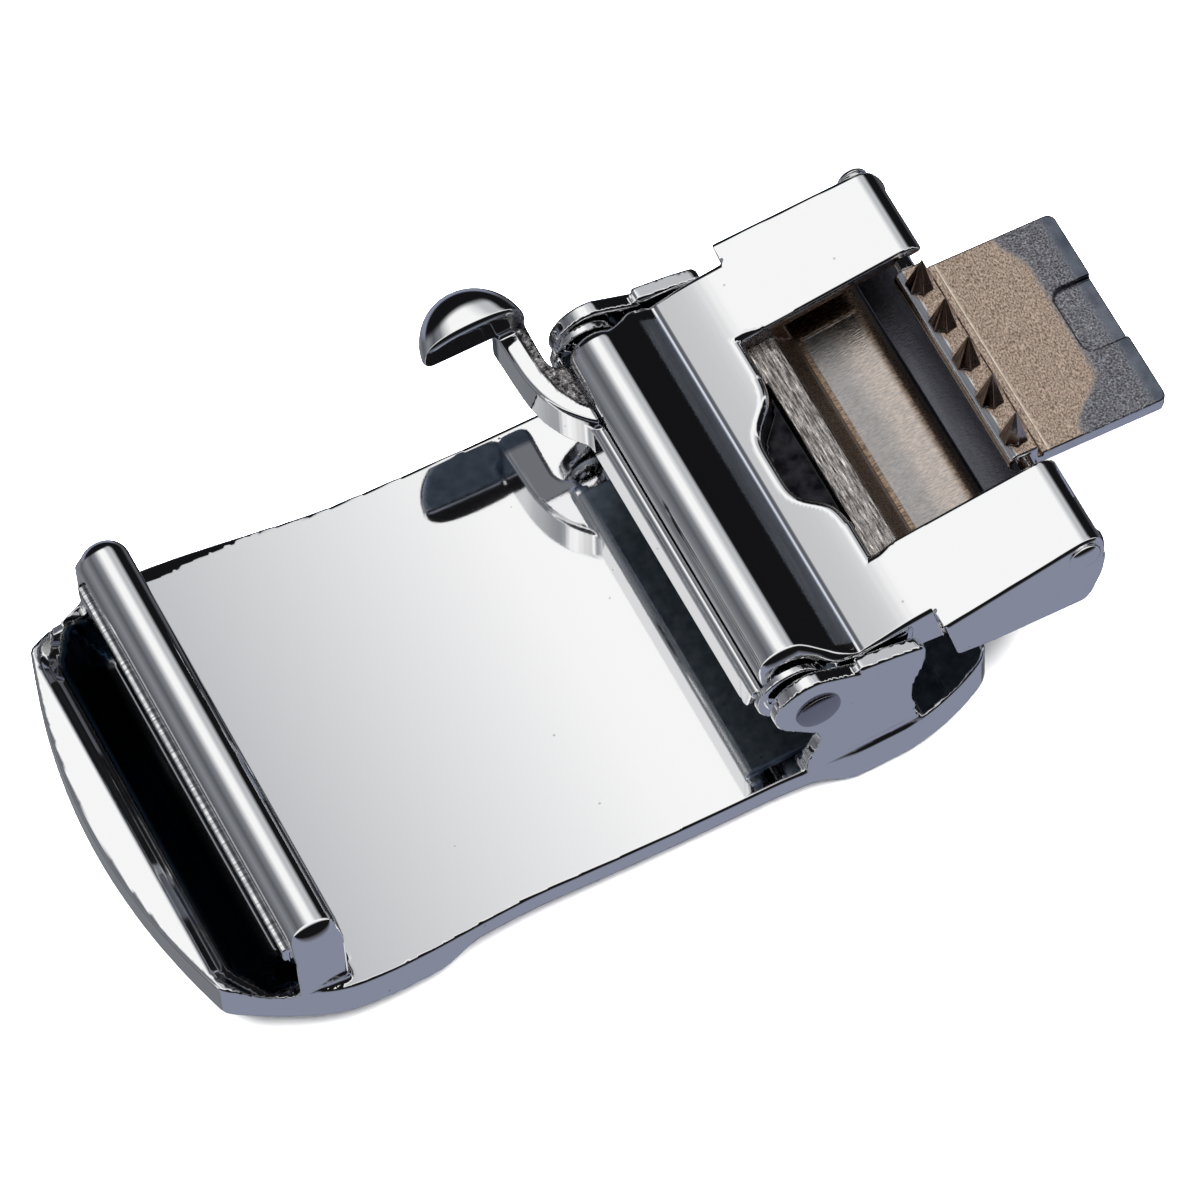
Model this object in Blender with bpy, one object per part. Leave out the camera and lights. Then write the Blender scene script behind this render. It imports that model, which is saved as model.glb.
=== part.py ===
"""Ratchet belt buckle for a 35 mm strap, seen from its back and lying face down.

A curved front plate carries a strap loop at its left end and two hinge ears near its
right end.  A clamp body swings on the pin between the ears, a sprung release lever turns
in the clamp's nose, and a spiked lid closes over the cut end of the strap.

Lengths are in metres.  X runs from the loop to the lid, Y across the strap, Z up.
Positions are measured from the lowest line of the plate's hollow back until the last
section moves the whole buckle onto its own origin.
"""
import math

import bmesh
import bpy
from mathutils import Matrix, Vector

for leftover in list(bpy.data.objects):
    bpy.data.objects.remove(leftover, do_unlink=True)

MM = 0.001
GAP = 0.3 * MM

# Front plate
PLATE_RADIUS = 198.0 * MM
PLATE_LEFT = -43.4 * MM
PLATE_RIGHT = 21.4 * MM
END_HALF_WIDTH = 16.4 * MM
END_BULGE = 2.75 * MM
CLIP_LENGTH = 5.2 * MM
CORNER_ROUNDING = 1.0 * MM
WAIST_HALF_WIDTH = 18.75 * MM
LEFT_FLARE = 1.3 * MM
LEFT_FLARE_FROM = -16.5 * MM
LEFT_FLARE_TO = -33.0 * MM
LEFT_SHOULDER_DROP = 0.55 * MM
LEFT_SHOULDER_LENGTH = 5.2 * MM
RIGHT_FLARE = 0.55 * MM
RIGHT_FLARE_FROM = 1.5 * MM
RIGHT_FLARE_TO = 10.5 * MM
PLATE_THICKNESS = 4.3 * MM
END_WALL = 4.0 * MM
WAIST_WALL = 2.1 * MM
WALL_STEP_LENGTH = 4.0 * MM
LEFT_WALL_STEP = -23.0 * MM
RIGHT_WALL_STEP = 5.0 * MM
FRONT_EDGE_INSET = 1.5 * MM
SLICE_LENGTH = 3.6 * MM

# Strap loop, cast in one with the plate
BAR_CENTRE_X = -36.0 * MM
BAR_HALF_WIDTH = 2.05 * MM
BAR_TOP = 11.9 * MM
BAR_DEPTH = 4.9 * MM
POST_OUTER_Y = 19.15 * MM
POST_INNER_Y = 17.6 * MM
BAR_END_ROUNDING = 0.7 * MM
LOOP_FOOT_DEPTH = 1.7 * MM
POCKET_LEFT = -42.1 * MM
POCKET_RIGHT = -33.4 * MM
POCKET_HALF_WIDTH = 17.85 * MM
POCKET_DEPTH = 1.0 * MM
POCKET_CLIP_X = 2.2 * MM
POCKET_CLIP_Y = 2.8 * MM

# Hinge ears, cast in one with the plate, and the hinge pin
EAR_INNER_Y = 17.5 * MM
EAR_OUTER_Y = 18.85 * MM
EAR_FOOT_DEPTH = 1.5 * MM
EAR_ROUND_CENTRE = (5.4 * MM, 10.2 * MM)
EAR_ROUND_RADIUS = 3.1 * MM
HINGE_X = 5.85 * MM
HINGE_Z = 9.4 * MM
PIN_RADIUS = 1.3 * MM
PIN_HEAD_RADIUS = 2.2 * MM
PIN_HEAD_HEIGHT = 0.75 * MM
PIN_GAP = 0.1 * MM

# Clamp body, in its own frame with the hinge axis at the origin
CLAMP_TILT = math.radians(8.0)
WEB_TOP = 1.95 * MM
NOSE_CENTRE = (-0.65 * MM, 2.5 * MM)
NOSE_RADIUS = 2.3 * MM
NOSE_HALF_LENGTH = 16.1 * MM
NOSE_SLOPE_ANGLE = 42.0
VALLEY_X = 3.5 * MM
VALLEY_Z = 1.5 * MM
WEB_START = 4.2 * MM
WEB_START_Z = 1.7 * MM
WEB_EDGE_DROP = 0.05 * MM
CLAMP_HALF_WIDTH = 17.2 * MM
FLANGE_CENTRE = (-1.2 * MM, 1.2 * MM)
FLANGE_RADIUS = 2.85 * MM
FLANGE_INNER_Y = 16.5 * MM
ARM_START = 11.1 * MM
ARM_END = 25.2 * MM
ARM_HALF_WIDTH = 19.05 * MM
ARM_END_HALF_WIDTH = 18.35 * MM
SIDE_WALL = 1.3 * MM
TOP_WALL = 1.3 * MM
WINDOW_LEFT = 9.35 * MM
WINDOW_STEP = 12.4 * MM
WINDOW_HALF_WIDTH_LEFT = 10.6 * MM
WINDOW_HALF_WIDTH = 10.2 * MM
SHELF_TOP = 0.1 * MM
THUMB_NOTCH_DEPTH = 2.7 * MM
THUMB_NOTCH_HALF_WIDTH = 4.65 * MM
THUMB_NOTCH_FLOOR = -0.2 * MM
INNER_FLOOR = -3.0 * MM
MOUTH_FLOOR = -5.2 * MM

# Lid, in its own frame with the lid pin's axis at the origin
LID_PIN_X = 23.15 * MM
LID_PIN_Z = 0.6 * MM
LID_PIN_RADIUS = 0.7 * MM
LID_PIN_HEAD_RADIUS = 1.5 * MM
LID_PIN_HEAD_HEIGHT = 0.9 * MM
LID_DROOP = math.radians(11.0)
LID_HALF_WIDTH = 9.3 * MM
LID_FACE = -0.1 * MM
LID_LENGTH = 12.4 * MM
LID_THICKNESS = 1.35 * MM
KNUCKLE_RADIUS = 1.45 * MM
KNUCKLE_TOP = 1.1 * MM
KNUCKLE_RIGHT = 1.1 * MM
SPIKE_COUNT = 5
SPIKE_PITCH = 3.75 * MM
SPIKE_X = -0.1 * MM
SPIKE_RADIUS = 1.15 * MM
SPIKE_FLUTE_RADIUS = 0.8 * MM
SPIKE_ROOT_DEPTH = 0.3 * MM
SPIKE_HEIGHT = 3.3 * MM
SPIKE_FLUTES = 7
RECESS_LEFT = 8.75 * MM
RECESS_HALF_WIDTH = 3.0 * MM
RECESS_DEPTH = 0.5 * MM

# Release lever, in its own frame with its pivot rod's axis at the origin
LEVER_X = -3.38 * MM
LEVER_Z = 1.08 * MM
ROD_RADIUS = 0.55 * MM
ROD_HALF_LENGTH = 16.0 * MM
STUB_RADIUS = 0.3 * MM
STUB_END = 16.9 * MM
PAWL_HALF_WIDTH = 14.0 * MM
PAWL_WALL = 1.1 * MM
PAWL_PLATE = 0.9 * MM
PAWL_DROP = 3.1 * MM
PAWL_REACH = 7.6 * MM
TOOTH_HEIGHT = 0.8 * MM
ARM_BOTTOM = -3.1 * MM
ARM_TOP = 1.2 * MM
ARM_UNDER_KNOB = 1.6 * MM
KNOB_CENTRE_X = -5.03 * MM
KNOB_FLAT_Y = 20.3 * MM
KNOB_BOTTOM = 1.0 * MM
KNOB_HEIGHT = 3.4 * MM
KNOB_HALF_LENGTH = 4.15 * MM
KNOB_REACH = 4.7 * MM

# Standing the finished buckle on its own origin
FOOTPRINT_MIDDLE_X = -2.54 * MM
FOOTPRINT_MIDDLE_Y = 2.476 * MM


def make_material(name, colour, roughness, metallic=1.0):
    """A plain Principled material in the part's own colour."""
    finish = bpy.data.materials.new(name)
    finish.use_nodes = True
    shader = finish.node_tree.nodes["Principled BSDF"]
    shader.inputs["Base Color"].default_value = (*colour, 1.0)
    shader.inputs["Roughness"].default_value = roughness
    shader.inputs["Metallic"].default_value = metallic
    return finish


CHROME = make_material("polished_chrome", (0.62, 0.63, 0.67), 0.06)
DARK_STEEL = make_material("dark_steel", (0.30, 0.28, 0.30), 0.25)
RAW_BRONZE = make_material("satin_bronze", (0.42, 0.34, 0.27), 0.38)


def make_frame(name, location, turn_y=0.0, parent=None):
    """An empty that carries a body; turn_y lifts its +X end."""
    frame = bpy.data.objects.new(name, None)
    bpy.context.collection.objects.link(frame)
    frame.location = location
    frame.rotation_euler = (0.0, -turn_y, 0.0)
    frame.parent = parent
    return frame


def make_object(name, shape, parent, finish):
    """Turn a bmesh into an object with outward faces."""
    bmesh.ops.recalc_face_normals(shape, faces=shape.faces)
    mesh = bpy.data.meshes.new(name)
    shape.to_mesh(mesh)
    shape.free()
    mesh.materials.append(finish)
    piece = bpy.data.objects.new(name, mesh)
    bpy.context.collection.objects.link(piece)
    piece.parent = parent
    return piece


def arc(centre, radius, start_degrees, end_degrees, steps):
    """Points of a circular arc, both ends included."""
    points = []
    for step in range(steps + 1):
        angle = math.radians(start_degrees + (end_degrees - start_degrees) * step / steps)
        points.append((centre[0] + radius * math.cos(angle), centre[1] + radius * math.sin(angle)))
    return points


def circle(centre, radius, sides):
    """Points of a full circle."""
    return arc(centre, radius, 0.0, 360.0 * (sides - 1) / sides, sides - 1)


def smooth_step(value, start, end):
    """0 at start, 1 at end, with an even S between them."""
    share = min(max((value - start) / (end - start), 0.0), 1.0)
    return share * share * (3.0 - 2.0 * share)


def add_prism(shape, outline, axis, start, end):
    """Extrude a closed outline along Y (outline in X,Z) or along Z (outline in X,Y)."""
    rings = []
    for level in (start, end):
        if axis == "Y":
            ring = [shape.verts.new((u, level, v)) for u, v in outline]
        else:
            ring = [shape.verts.new((u, v, level)) for u, v in outline]
        rings.append(ring)
    shape.faces.new(rings[0])
    shape.faces.new(rings[1])
    count = len(outline)
    for index in range(count):
        following = (index + 1) % count
        shape.faces.new((rings[0][index], rings[0][following], rings[1][following], rings[1][index]))


def prism(name, outline, axis, start, end, parent, finish=CHROME):
    """One prism as an object of its own."""
    shape = bmesh.new()
    add_prism(shape, outline, axis, start, end)
    return make_object(name, shape, parent, finish)


def turned(name, profile, sides, parent, finish):
    """Turn a profile of (radius, y) points about the Y axis; both ends lie on the axis."""
    shape = bmesh.new()
    rings = []
    for radius, y in profile:
        if radius == 0.0:
            rings.append([shape.verts.new((0.0, y, 0.0))])
        else:
            rings.append([shape.verts.new((u, y, v)) for u, v in circle((0.0, 0.0), radius, sides)])
    for lower, upper in zip(rings, rings[1:]):
        for index in range(sides):
            following = (index + 1) % sides
            if len(lower) == 1:
                shape.faces.new((lower[0], upper[index], upper[following]))
            elif len(upper) == 1:
                shape.faces.new((lower[index], lower[following], upper[0]))
            else:
                shape.faces.new((lower[index], lower[following], upper[following], upper[index]))
    return make_object(name, shape, parent, finish)


def combine(target, tool, operation):
    """Cut a tool out of the target, or fuse it on."""
    tool.hide_render = True
    tool.display_type = "WIRE"
    step = target.modifiers.new(tool.name, "BOOLEAN")
    step.operation = operation
    step.object = tool
    step.solver = "EXACT"


def box_outline(left, right, low, high):
    """Four corners of a rectangle."""
    return [(left, low), (right, low), (right, high), (left, high)]


# Front plate: a flat blank with its pocket, sliced and then curved

def plate_half_width(x):
    """Half width of the plate along its waisted long sides."""
    left = LEFT_FLARE * smooth_step(-x, -LEFT_FLARE_FROM, -LEFT_FLARE_TO)
    right = RIGHT_FLARE * smooth_step(x, RIGHT_FLARE_FROM, RIGHT_FLARE_TO)
    shoulder = max(0.0, (LEFT_FLARE_TO - x) / LEFT_SHOULDER_LENGTH) ** 2
    return WAIST_HALF_WIDTH + left + right - LEFT_SHOULDER_DROP * shoulder


def plate_wall(x):
    """Height of the upright side band, lower along the waist."""
    left = smooth_step(-x, -LEFT_WALL_STEP, -LEFT_WALL_STEP + WALL_STEP_LENGTH)
    right = smooth_step(x, RIGHT_WALL_STEP, RIGHT_WALL_STEP + WALL_STEP_LENGTH)
    return WAIST_WALL + (END_WALL - WAIST_WALL) * max(left, right)


def plate_outline():
    """Plan of the plate, anticlockwise: bulged ends, clipped corners and waisted sides."""
    end_steps = 12
    side_steps = 22
    right_end = []
    for step in range(end_steps + 1):
        y = END_HALF_WIDTH * (2.0 * step / end_steps - 1.0)
        right_end.append((PLATE_RIGHT + END_BULGE * (1.0 - (y / END_HALF_WIDTH) ** 2), y))
    side_right = PLATE_RIGHT - CLIP_LENGTH
    side_left = PLATE_LEFT + CLIP_LENGTH
    far_side = [
        (PLATE_RIGHT - 0.23 * CLIP_LENGTH, END_HALF_WIDTH + CORNER_ROUNDING),
        (PLATE_RIGHT - 0.54 * CLIP_LENGTH, END_HALF_WIDTH + 2.0 * CORNER_ROUNDING),
    ]
    for step in range(side_steps + 1):
        x = side_right + (side_left - side_right) * step / side_steps
        far_side.append((x, plate_half_width(x)))
    left_end = []
    for step in range(end_steps + 1):
        y = END_HALF_WIDTH * (1.0 - 2.0 * step / end_steps)
        left_end.append((PLATE_LEFT - END_BULGE * (1.0 - (y / END_HALF_WIDTH) ** 2), y))
    near_side = [(x, -y) for x, y in reversed(far_side)]
    return right_end + far_side + left_end + near_side


def plate_height(x):
    """Height of the plate's hollow back above its lowest line."""
    return x * x / (2.0 * PLATE_RADIUS)


def plate_blank():
    """Flat blank: top face, upright band, sloping front edge and front face."""
    shape = bmesh.new()
    outline = plate_outline()
    middle = (PLATE_LEFT + PLATE_RIGHT) / 2.0
    half_length = (PLATE_RIGHT - PLATE_LEFT) / 2.0 + END_BULGE
    length_share = 1.0 - FRONT_EDGE_INSET / half_length
    width_share = 1.0 - FRONT_EDGE_INSET / WAIST_HALF_WIDTH
    top = [shape.verts.new((x, y, 0.0)) for x, y in outline]
    band = [shape.verts.new((x, y, -plate_wall(x))) for x, y in outline]
    front = []
    for x, y in outline:
        inset_x = middle + (x - middle) * length_share
        front.append(shape.verts.new((inset_x, y * width_share, -PLATE_THICKNESS)))
    shape.faces.new(top)
    shape.faces.new(front)
    count = len(outline)
    for upper, lower in ((top, band), (band, front)):
        for index in range(count):
            following = (index + 1) % count
            shape.faces.new((upper[index], upper[following], lower[following], lower[index]))
    return shape


def build_front_plate(parent):
    """Curve the blank, then fuse the strap loop onto it."""
    blank = make_object("plate_blank", plate_blank(), parent, CHROME)
    pocket_outline = [
        (POCKET_LEFT, -POCKET_HALF_WIDTH + POCKET_CLIP_Y),
        (POCKET_LEFT + POCKET_CLIP_X, -POCKET_HALF_WIDTH),
        (POCKET_RIGHT, -POCKET_HALF_WIDTH),
        (POCKET_RIGHT, POCKET_HALF_WIDTH),
        (POCKET_LEFT + POCKET_CLIP_X, POCKET_HALF_WIDTH),
        (POCKET_LEFT, POCKET_HALF_WIDTH - POCKET_CLIP_Y),
    ]
    pocket = prism("pocket_cutter", pocket_outline, "Z", -POCKET_DEPTH, PLATE_THICKNESS, parent)
    combine(blank, pocket, "DIFFERENCE")
    bpy.context.view_layer.update()
    evaluated = blank.evaluated_get(bpy.context.evaluated_depsgraph_get())
    curved = bmesh.new()
    curved.from_mesh(bpy.data.meshes.new_from_object(evaluated))
    bpy.data.objects.remove(blank, do_unlink=True)
    bpy.data.objects.remove(pocket, do_unlink=True)
    bmesh.ops.triangulate(curved, faces=curved.faces[:])
    left = PLATE_LEFT - END_BULGE
    slices = int((PLATE_RIGHT + END_BULGE - left) / SLICE_LENGTH)
    for index in range(1, slices + 1):
        everything = curved.verts[:] + curved.edges[:] + curved.faces[:]
        position = Vector((left + index * SLICE_LENGTH, 0.0, 0.0))
        bmesh.ops.bisect_plane(curved, geom=everything, plane_co=position, plane_no=(1.0, 0.0, 0.0))
    for vertex in curved.verts:
        vertex.co.z += plate_height(vertex.co.x)
    bmesh.ops.triangulate(curved, faces=curved.faces[:])
    plate = make_object("front_plate", curved, parent, CHROME)
    combine(plate, build_loop(parent), "UNION")
    for side in (-1.0, 1.0):
        inner, outer = side * EAR_INNER_Y, side * EAR_OUTER_Y
        combine(plate, prism("ear", ear_outline(), "Y", inner, outer, parent), "UNION")
    hole = circle((HINGE_X, HINGE_Z), PIN_RADIUS + PIN_GAP, 24)
    combine(plate, prism("pin_bore", hole, "Y", -2.0 * EAR_OUTER_Y, 2.0 * EAR_OUTER_Y, parent), "DIFFERENCE")
    return plate


def build_loop(parent):
    """Bar with a rounded top on two posts whose feet are sunk in the plate."""
    foot = plate_height(BAR_CENTRE_X) - LOOP_FOOT_DEPTH
    crown_centre = (BAR_CENTRE_X, BAR_TOP - BAR_HALF_WIDTH)
    outline = arc(crown_centre, BAR_HALF_WIDTH, 0.0, 180.0, 12)
    outline += [(BAR_CENTRE_X - BAR_HALF_WIDTH, foot), (BAR_CENTRE_X + BAR_HALF_WIDTH, foot)]
    shape = bmesh.new()
    add_prism(shape, outline, "Y", -POST_OUTER_Y, POST_OUTER_Y)
    crown_edges = []
    for edge in shape.edges:
        first, second = edge.verts
        on_end = abs(first.co.y - second.co.y) < GAP
        on_crown = min(first.co.z, second.co.z) > crown_centre[1] - GAP
        if on_end and on_crown and edge.calc_length() < BAR_HALF_WIDTH:
            crown_edges.append(edge)
    bmesh.ops.bevel(
        shape, geom=crown_edges, offset=BAR_END_ROUNDING, segments=3, profile=0.5, affect="EDGES"
    )
    loop = make_object("strap_loop", shape, parent, CHROME)
    beyond = 2.0 * BAR_HALF_WIDTH
    way = box_outline(BAR_CENTRE_X - beyond, BAR_CENTRE_X + beyond, foot - GAP, BAR_TOP - BAR_DEPTH)
    combine(loop, prism("loop_slot_cutter", way, "Y", -POST_INNER_Y, POST_INNER_Y, parent), "DIFFERENCE")
    return loop


def ear_outline():
    """Side view of an ear: round nose over a hollow throat, and a long foot in the plate."""
    nose = arc(EAR_ROUND_CENTRE, EAR_ROUND_RADIUS, 75.0, 225.0, 12)
    throat = [(5.3 * MM, 6.0 * MM), (5.9 * MM, 4.6 * MM), (5.8 * MM, 3.2 * MM), (5.3 * MM, 1.6 * MM)]
    foot = [(5.0 * MM, -EAR_FOOT_DEPTH), (14.4 * MM, -EAR_FOOT_DEPTH), (14.3 * MM, 1.8 * MM)]
    heel = [(13.9 * MM, 4.0 * MM), (14.1 * MM, 6.4 * MM), (15.0 * MM, 8.2 * MM), (15.2 * MM, 11.1 * MM)]
    top = [(12.6 * MM, 11.7 * MM), (9.2 * MM, 12.3 * MM)]
    return nose + throat + foot + heel + top


# Pins

def build_pin(name, radius, head_radius, head_height, head_start, parent, finish):
    """A plain pin with a low domed head at each end."""
    dome = []
    dome_steps = 4
    for step in range(dome_steps + 1):
        angle = math.radians(90.0 * step / dome_steps)
        dome.append((head_radius * math.cos(angle), head_start + head_height * math.sin(angle)))
    dome[-1] = (0.0, head_start + head_height)
    half = [(radius, head_start)] + dome
    profile = [(r, -y) for r, y in reversed(half)] + half
    return turned(name, profile, 24, parent, finish)


# Clamp body: nose, web, two arms and the floor, one casting

def clamp_middle_outline():
    """Section of the narrow part: nose, its back slope, valley, web and the underside."""
    nose = arc(NOSE_CENTRE, NOSE_RADIUS, NOSE_SLOPE_ANGLE, 235.0, 24)
    under_pin = [(-1.95 * MM, -0.4 * MM), (-1.4 * MM, -1.5 * MM), (-0.4 * MM, -1.95 * MM)]
    underside = [(1.2 * MM, -1.95 * MM), (7.6 * MM, -2.0 * MM), (ARM_START + 1.0 * MM, -3.2 * MM)]
    web = [(ARM_START + 1.0 * MM, WEB_TOP), (8.2 * MM, WEB_TOP), (6.0 * MM, WEB_TOP - 0.08 * MM)]
    valley = [
        (WEB_START, WEB_START_Z),
        (VALLEY_X + 0.3 * MM, VALLEY_Z),
        (VALLEY_X - 0.2 * MM, VALLEY_Z),
        (3.0 * MM, 1.85 * MM),
    ]
    return nose + under_pin + underside + web + valley


def clamp_arm_outline():
    """Section of the wide part: underside falling to the mouth and a rounded free end."""
    return [
        (ARM_START, -3.2 * MM),
        (14.4 * MM, -4.6 * MM),
        (22.3 * MM, -6.9 * MM),
        (23.1 * MM, -6.4 * MM),
        (24.3 * MM, -4.2 * MM),
        (25.1 * MM, -1.9 * MM),
        (ARM_END, -0.8 * MM),
        (24.9 * MM, 0.5 * MM),
        (24.3 * MM, 1.5 * MM),
        (23.6 * MM, WEB_TOP),
        (ARM_START, WEB_TOP),
    ]


def clamp_cavity_outline():
    """Section of the strap's pocket: inner floor, rounded drop and the lower mouth."""
    drop = arc((18.0 * MM, INNER_FLOOR - 1.5 * MM), 1.5 * MM, 90.0, 10.0, 5)
    beyond = ARM_END + 2.0 * MM
    outline = [(13.3 * MM, INNER_FLOOR)] + drop
    outline += [(19.8 * MM, MOUTH_FLOOR), (beyond, MOUTH_FLOOR)]
    outline += [(beyond, WEB_TOP - TOP_WALL), (12.9 * MM, WEB_TOP - TOP_WALL)]
    return outline


def taper_arms(shape, wide, narrow):
    """Draw the far and near sides together towards the lid's end."""
    for vertex in shape.verts:
        share = max(0.0, (vertex.co.x - ARM_START) / (ARM_END - ARM_START))
        vertex.co.y *= 1.0 - share * (1.0 - narrow / wide)


def window_outline():
    """Plan of the window above the strap's pocket, open at the lid's end."""
    beyond = ARM_END + 2.0 * MM
    return [
        (WINDOW_STEP, -WINDOW_HALF_WIDTH),
        (beyond, -WINDOW_HALF_WIDTH),
        (beyond, WINDOW_HALF_WIDTH),
        (WINDOW_STEP, WINDOW_HALF_WIDTH),
    ]


def thumb_notch_outline():
    """Plan of the finger notch in the window's left edge."""
    right = WINDOW_LEFT + 0.5 * MM
    points = [(right, THUMB_NOTCH_HALF_WIDTH + 0.6 * MM)]
    steps = 12
    for step in range(steps + 1):
        angle = math.pi * step / steps
        y = THUMB_NOTCH_HALF_WIDTH * math.cos(angle)
        depth = THUMB_NOTCH_DEPTH * math.sin(angle) ** 0.8
        points.append((WINDOW_LEFT - depth, y))
    points.append((right, -THUMB_NOTCH_HALF_WIDTH - 0.6 * MM))
    return points


def build_clamp(parent):
    """Fuse the casting's masses, then cut its pocket, window and pin holes."""
    clamp = prism("clamp_body", clamp_middle_outline(), "Y", -NOSE_HALF_LENGTH, NOSE_HALF_LENGTH, parent)
    flange = circle(FLANGE_CENTRE, FLANGE_RADIUS, 28)
    web_edge = [
        (0.4 * MM, -1.9 * MM),
        (7.6 * MM, -1.9 * MM),
        (ARM_START + 1.0 * MM, -3.2 * MM),
        (ARM_START + 1.0 * MM, WEB_TOP - WEB_EDGE_DROP),
        (WEB_START, WEB_START_Z - WEB_EDGE_DROP),
        (3.3 * MM, 1.4 * MM),
        (1.3 * MM, 3.3 * MM),
        (0.4 * MM, 3.5 * MM),
    ]
    for side in (-1.0, 1.0):
        end = side * CLAMP_HALF_WIDTH
        combine(clamp, prism("nose_flange", flange, "Y", side * FLANGE_INNER_Y, end, parent), "UNION")
        edge_start = side * (NOSE_HALF_LENGTH - 1.0 * MM)
        combine(clamp, prism("web_edge", web_edge, "Y", edge_start, end, parent), "UNION")
    arms_shape = bmesh.new()
    add_prism(arms_shape, clamp_arm_outline(), "Y", -ARM_HALF_WIDTH, ARM_HALF_WIDTH)
    taper_arms(arms_shape, ARM_HALF_WIDTH, ARM_END_HALF_WIDTH)
    combine(clamp, make_object("clamp_arms", arms_shape, parent, CHROME), "UNION")
    cavity_shape = bmesh.new()
    cavity_half_width = ARM_HALF_WIDTH - SIDE_WALL
    add_prism(cavity_shape, clamp_cavity_outline(), "Y", -cavity_half_width, cavity_half_width)
    taper_arms(cavity_shape, ARM_HALF_WIDTH, ARM_END_HALF_WIDTH)
    combine(clamp, make_object("strap_pocket", cavity_shape, parent, CHROME), "DIFFERENCE")
    above = WEB_TOP + 3.0 * MM
    combine(clamp, prism("window", window_outline(), "Z", INNER_FLOOR + GAP, above, parent), "DIFFERENCE")
    shelf = box_outline(WINDOW_LEFT, WINDOW_STEP + GAP, -WINDOW_HALF_WIDTH_LEFT, WINDOW_HALF_WIDTH_LEFT)
    combine(clamp, prism("window_shelf", shelf, "Z", SHELF_TOP, above, parent), "DIFFERENCE")
    notch = prism("thumb_notch", thumb_notch_outline(), "Z", THUMB_NOTCH_FLOOR, above, parent)
    combine(clamp, notch, "DIFFERENCE")
    beyond = 2.0 * ARM_HALF_WIDTH
    hinge_hole = circle((0.0, 0.0), PIN_RADIUS + PIN_GAP, 24)
    combine(clamp, prism("clamp_bore", hinge_hole, "Y", -beyond, beyond, parent), "DIFFERENCE")
    lid_hole = circle((LID_PIN_X, LID_PIN_Z), LID_PIN_RADIUS + PIN_GAP, 16)
    combine(clamp, prism("lid_pin_hole", lid_hole, "Y", -beyond, beyond, parent), "DIFFERENCE")
    stub_hole = circle((LEVER_X, LEVER_Z), STUB_RADIUS + PIN_GAP, 12)
    combine(clamp, prism("lever_hole", stub_hole, "Y", -beyond, beyond, parent), "DIFFERENCE")
    return clamp


# Release lever: rod, pawl, curved arm and half-mushroom knob, one casting

def pawl_outline():
    """Section of the pawl: a wall below the rod, a plate under the nose and a tooth."""
    left = -ROD_RADIUS
    right = left + PAWL_REACH
    under = -PAWL_DROP - PAWL_PLATE
    return [
        (left + 0.1 * MM, 0.0),
        (left + 0.1 * MM, under + 0.4 * MM),
        (left + 0.5 * MM, under),
        (right - 1.6 * MM, under),
        (right - 0.2 * MM, under - TOOTH_HEIGHT),
        (right, under - TOOTH_HEIGHT),
        (right, -PAWL_DROP),
        (left + PAWL_WALL + 0.6 * MM, -PAWL_DROP),
        (left + PAWL_WALL + 0.1 * MM, -PAWL_DROP + 0.5 * MM),
        (left + PAWL_WALL, 0.0),
    ]


def lever_arm_outline():
    """Plan of the arm, from the rod round to the knob."""
    inner_side = [
        (0.2 * MM, 9.9 * MM),
        (-0.5 * MM, 10.3 * MM),
        (-2.0 * MM, 12.1 * MM),
        (-2.9 * MM, 14.0 * MM),
        (-3.35 * MM, 16.2 * MM),
        (-3.45 * MM, 18.8 * MM),
        (-3.6 * MM, KNOB_FLAT_Y + ARM_UNDER_KNOB),
    ]
    outer_side = [
        (-1.0 * MM, KNOB_FLAT_Y + ARM_UNDER_KNOB),
        (-1.1 * MM, 17.6 * MM),
        (-1.05 * MM, 16.7 * MM),
        (-0.7 * MM, 16.1 * MM),
        (0.2 * MM, 15.8 * MM),
    ]
    return inner_side + outer_side


def build_knob(parent):
    """Half of a low dome, flat on the side that faces the buckle."""
    shape = bmesh.new()
    around = 16
    levels = 5
    rings = []
    for level in range(levels):
        lift = math.radians(80.0 * level / (levels - 1))
        share = math.cos(lift)
        z = KNOB_BOTTOM + KNOB_HEIGHT * math.sin(lift)
        ring = []
        for step in range(around + 1):
            angle = math.pi * step / around
            x = KNOB_CENTRE_X + KNOB_HALF_LENGTH * share * math.cos(angle)
            y = KNOB_FLAT_Y + KNOB_REACH * share * math.sin(angle)
            ring.append(shape.verts.new((x, y, z)))
        rings.append(ring)
    for lower, upper in zip(rings, rings[1:]):
        count = len(lower)
        for index in range(count):
            following = (index + 1) % count
            shape.faces.new((lower[index], lower[following], upper[following], upper[index]))
    shape.faces.new(rings[0])
    shape.faces.new(rings[-1])
    return make_object("lever_knob", shape, parent, DARK_STEEL)


def build_lever(parent):
    """Fuse the lever's masses onto its pivot rod."""
    half = [(ROD_RADIUS, ROD_HALF_LENGTH), (STUB_RADIUS, ROD_HALF_LENGTH)]
    half += [(STUB_RADIUS, STUB_END), (0.0, STUB_END)]
    profile = [(r, -y) for r, y in reversed(half)] + half
    lever = turned("release_lever", profile, 16, parent, CHROME)
    combine(lever, prism("pawl", pawl_outline(), "Y", -PAWL_HALF_WIDTH, PAWL_HALF_WIDTH, parent), "UNION")
    arm = prism("lever_arm", lever_arm_outline(), "Z", ARM_BOTTOM, ARM_TOP, parent)
    combine(lever, arm, "UNION")
    combine(lever, build_knob(parent), "UNION")
    return lever


# Lid: plate, knuckle and five fluted spikes, one casting

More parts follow.
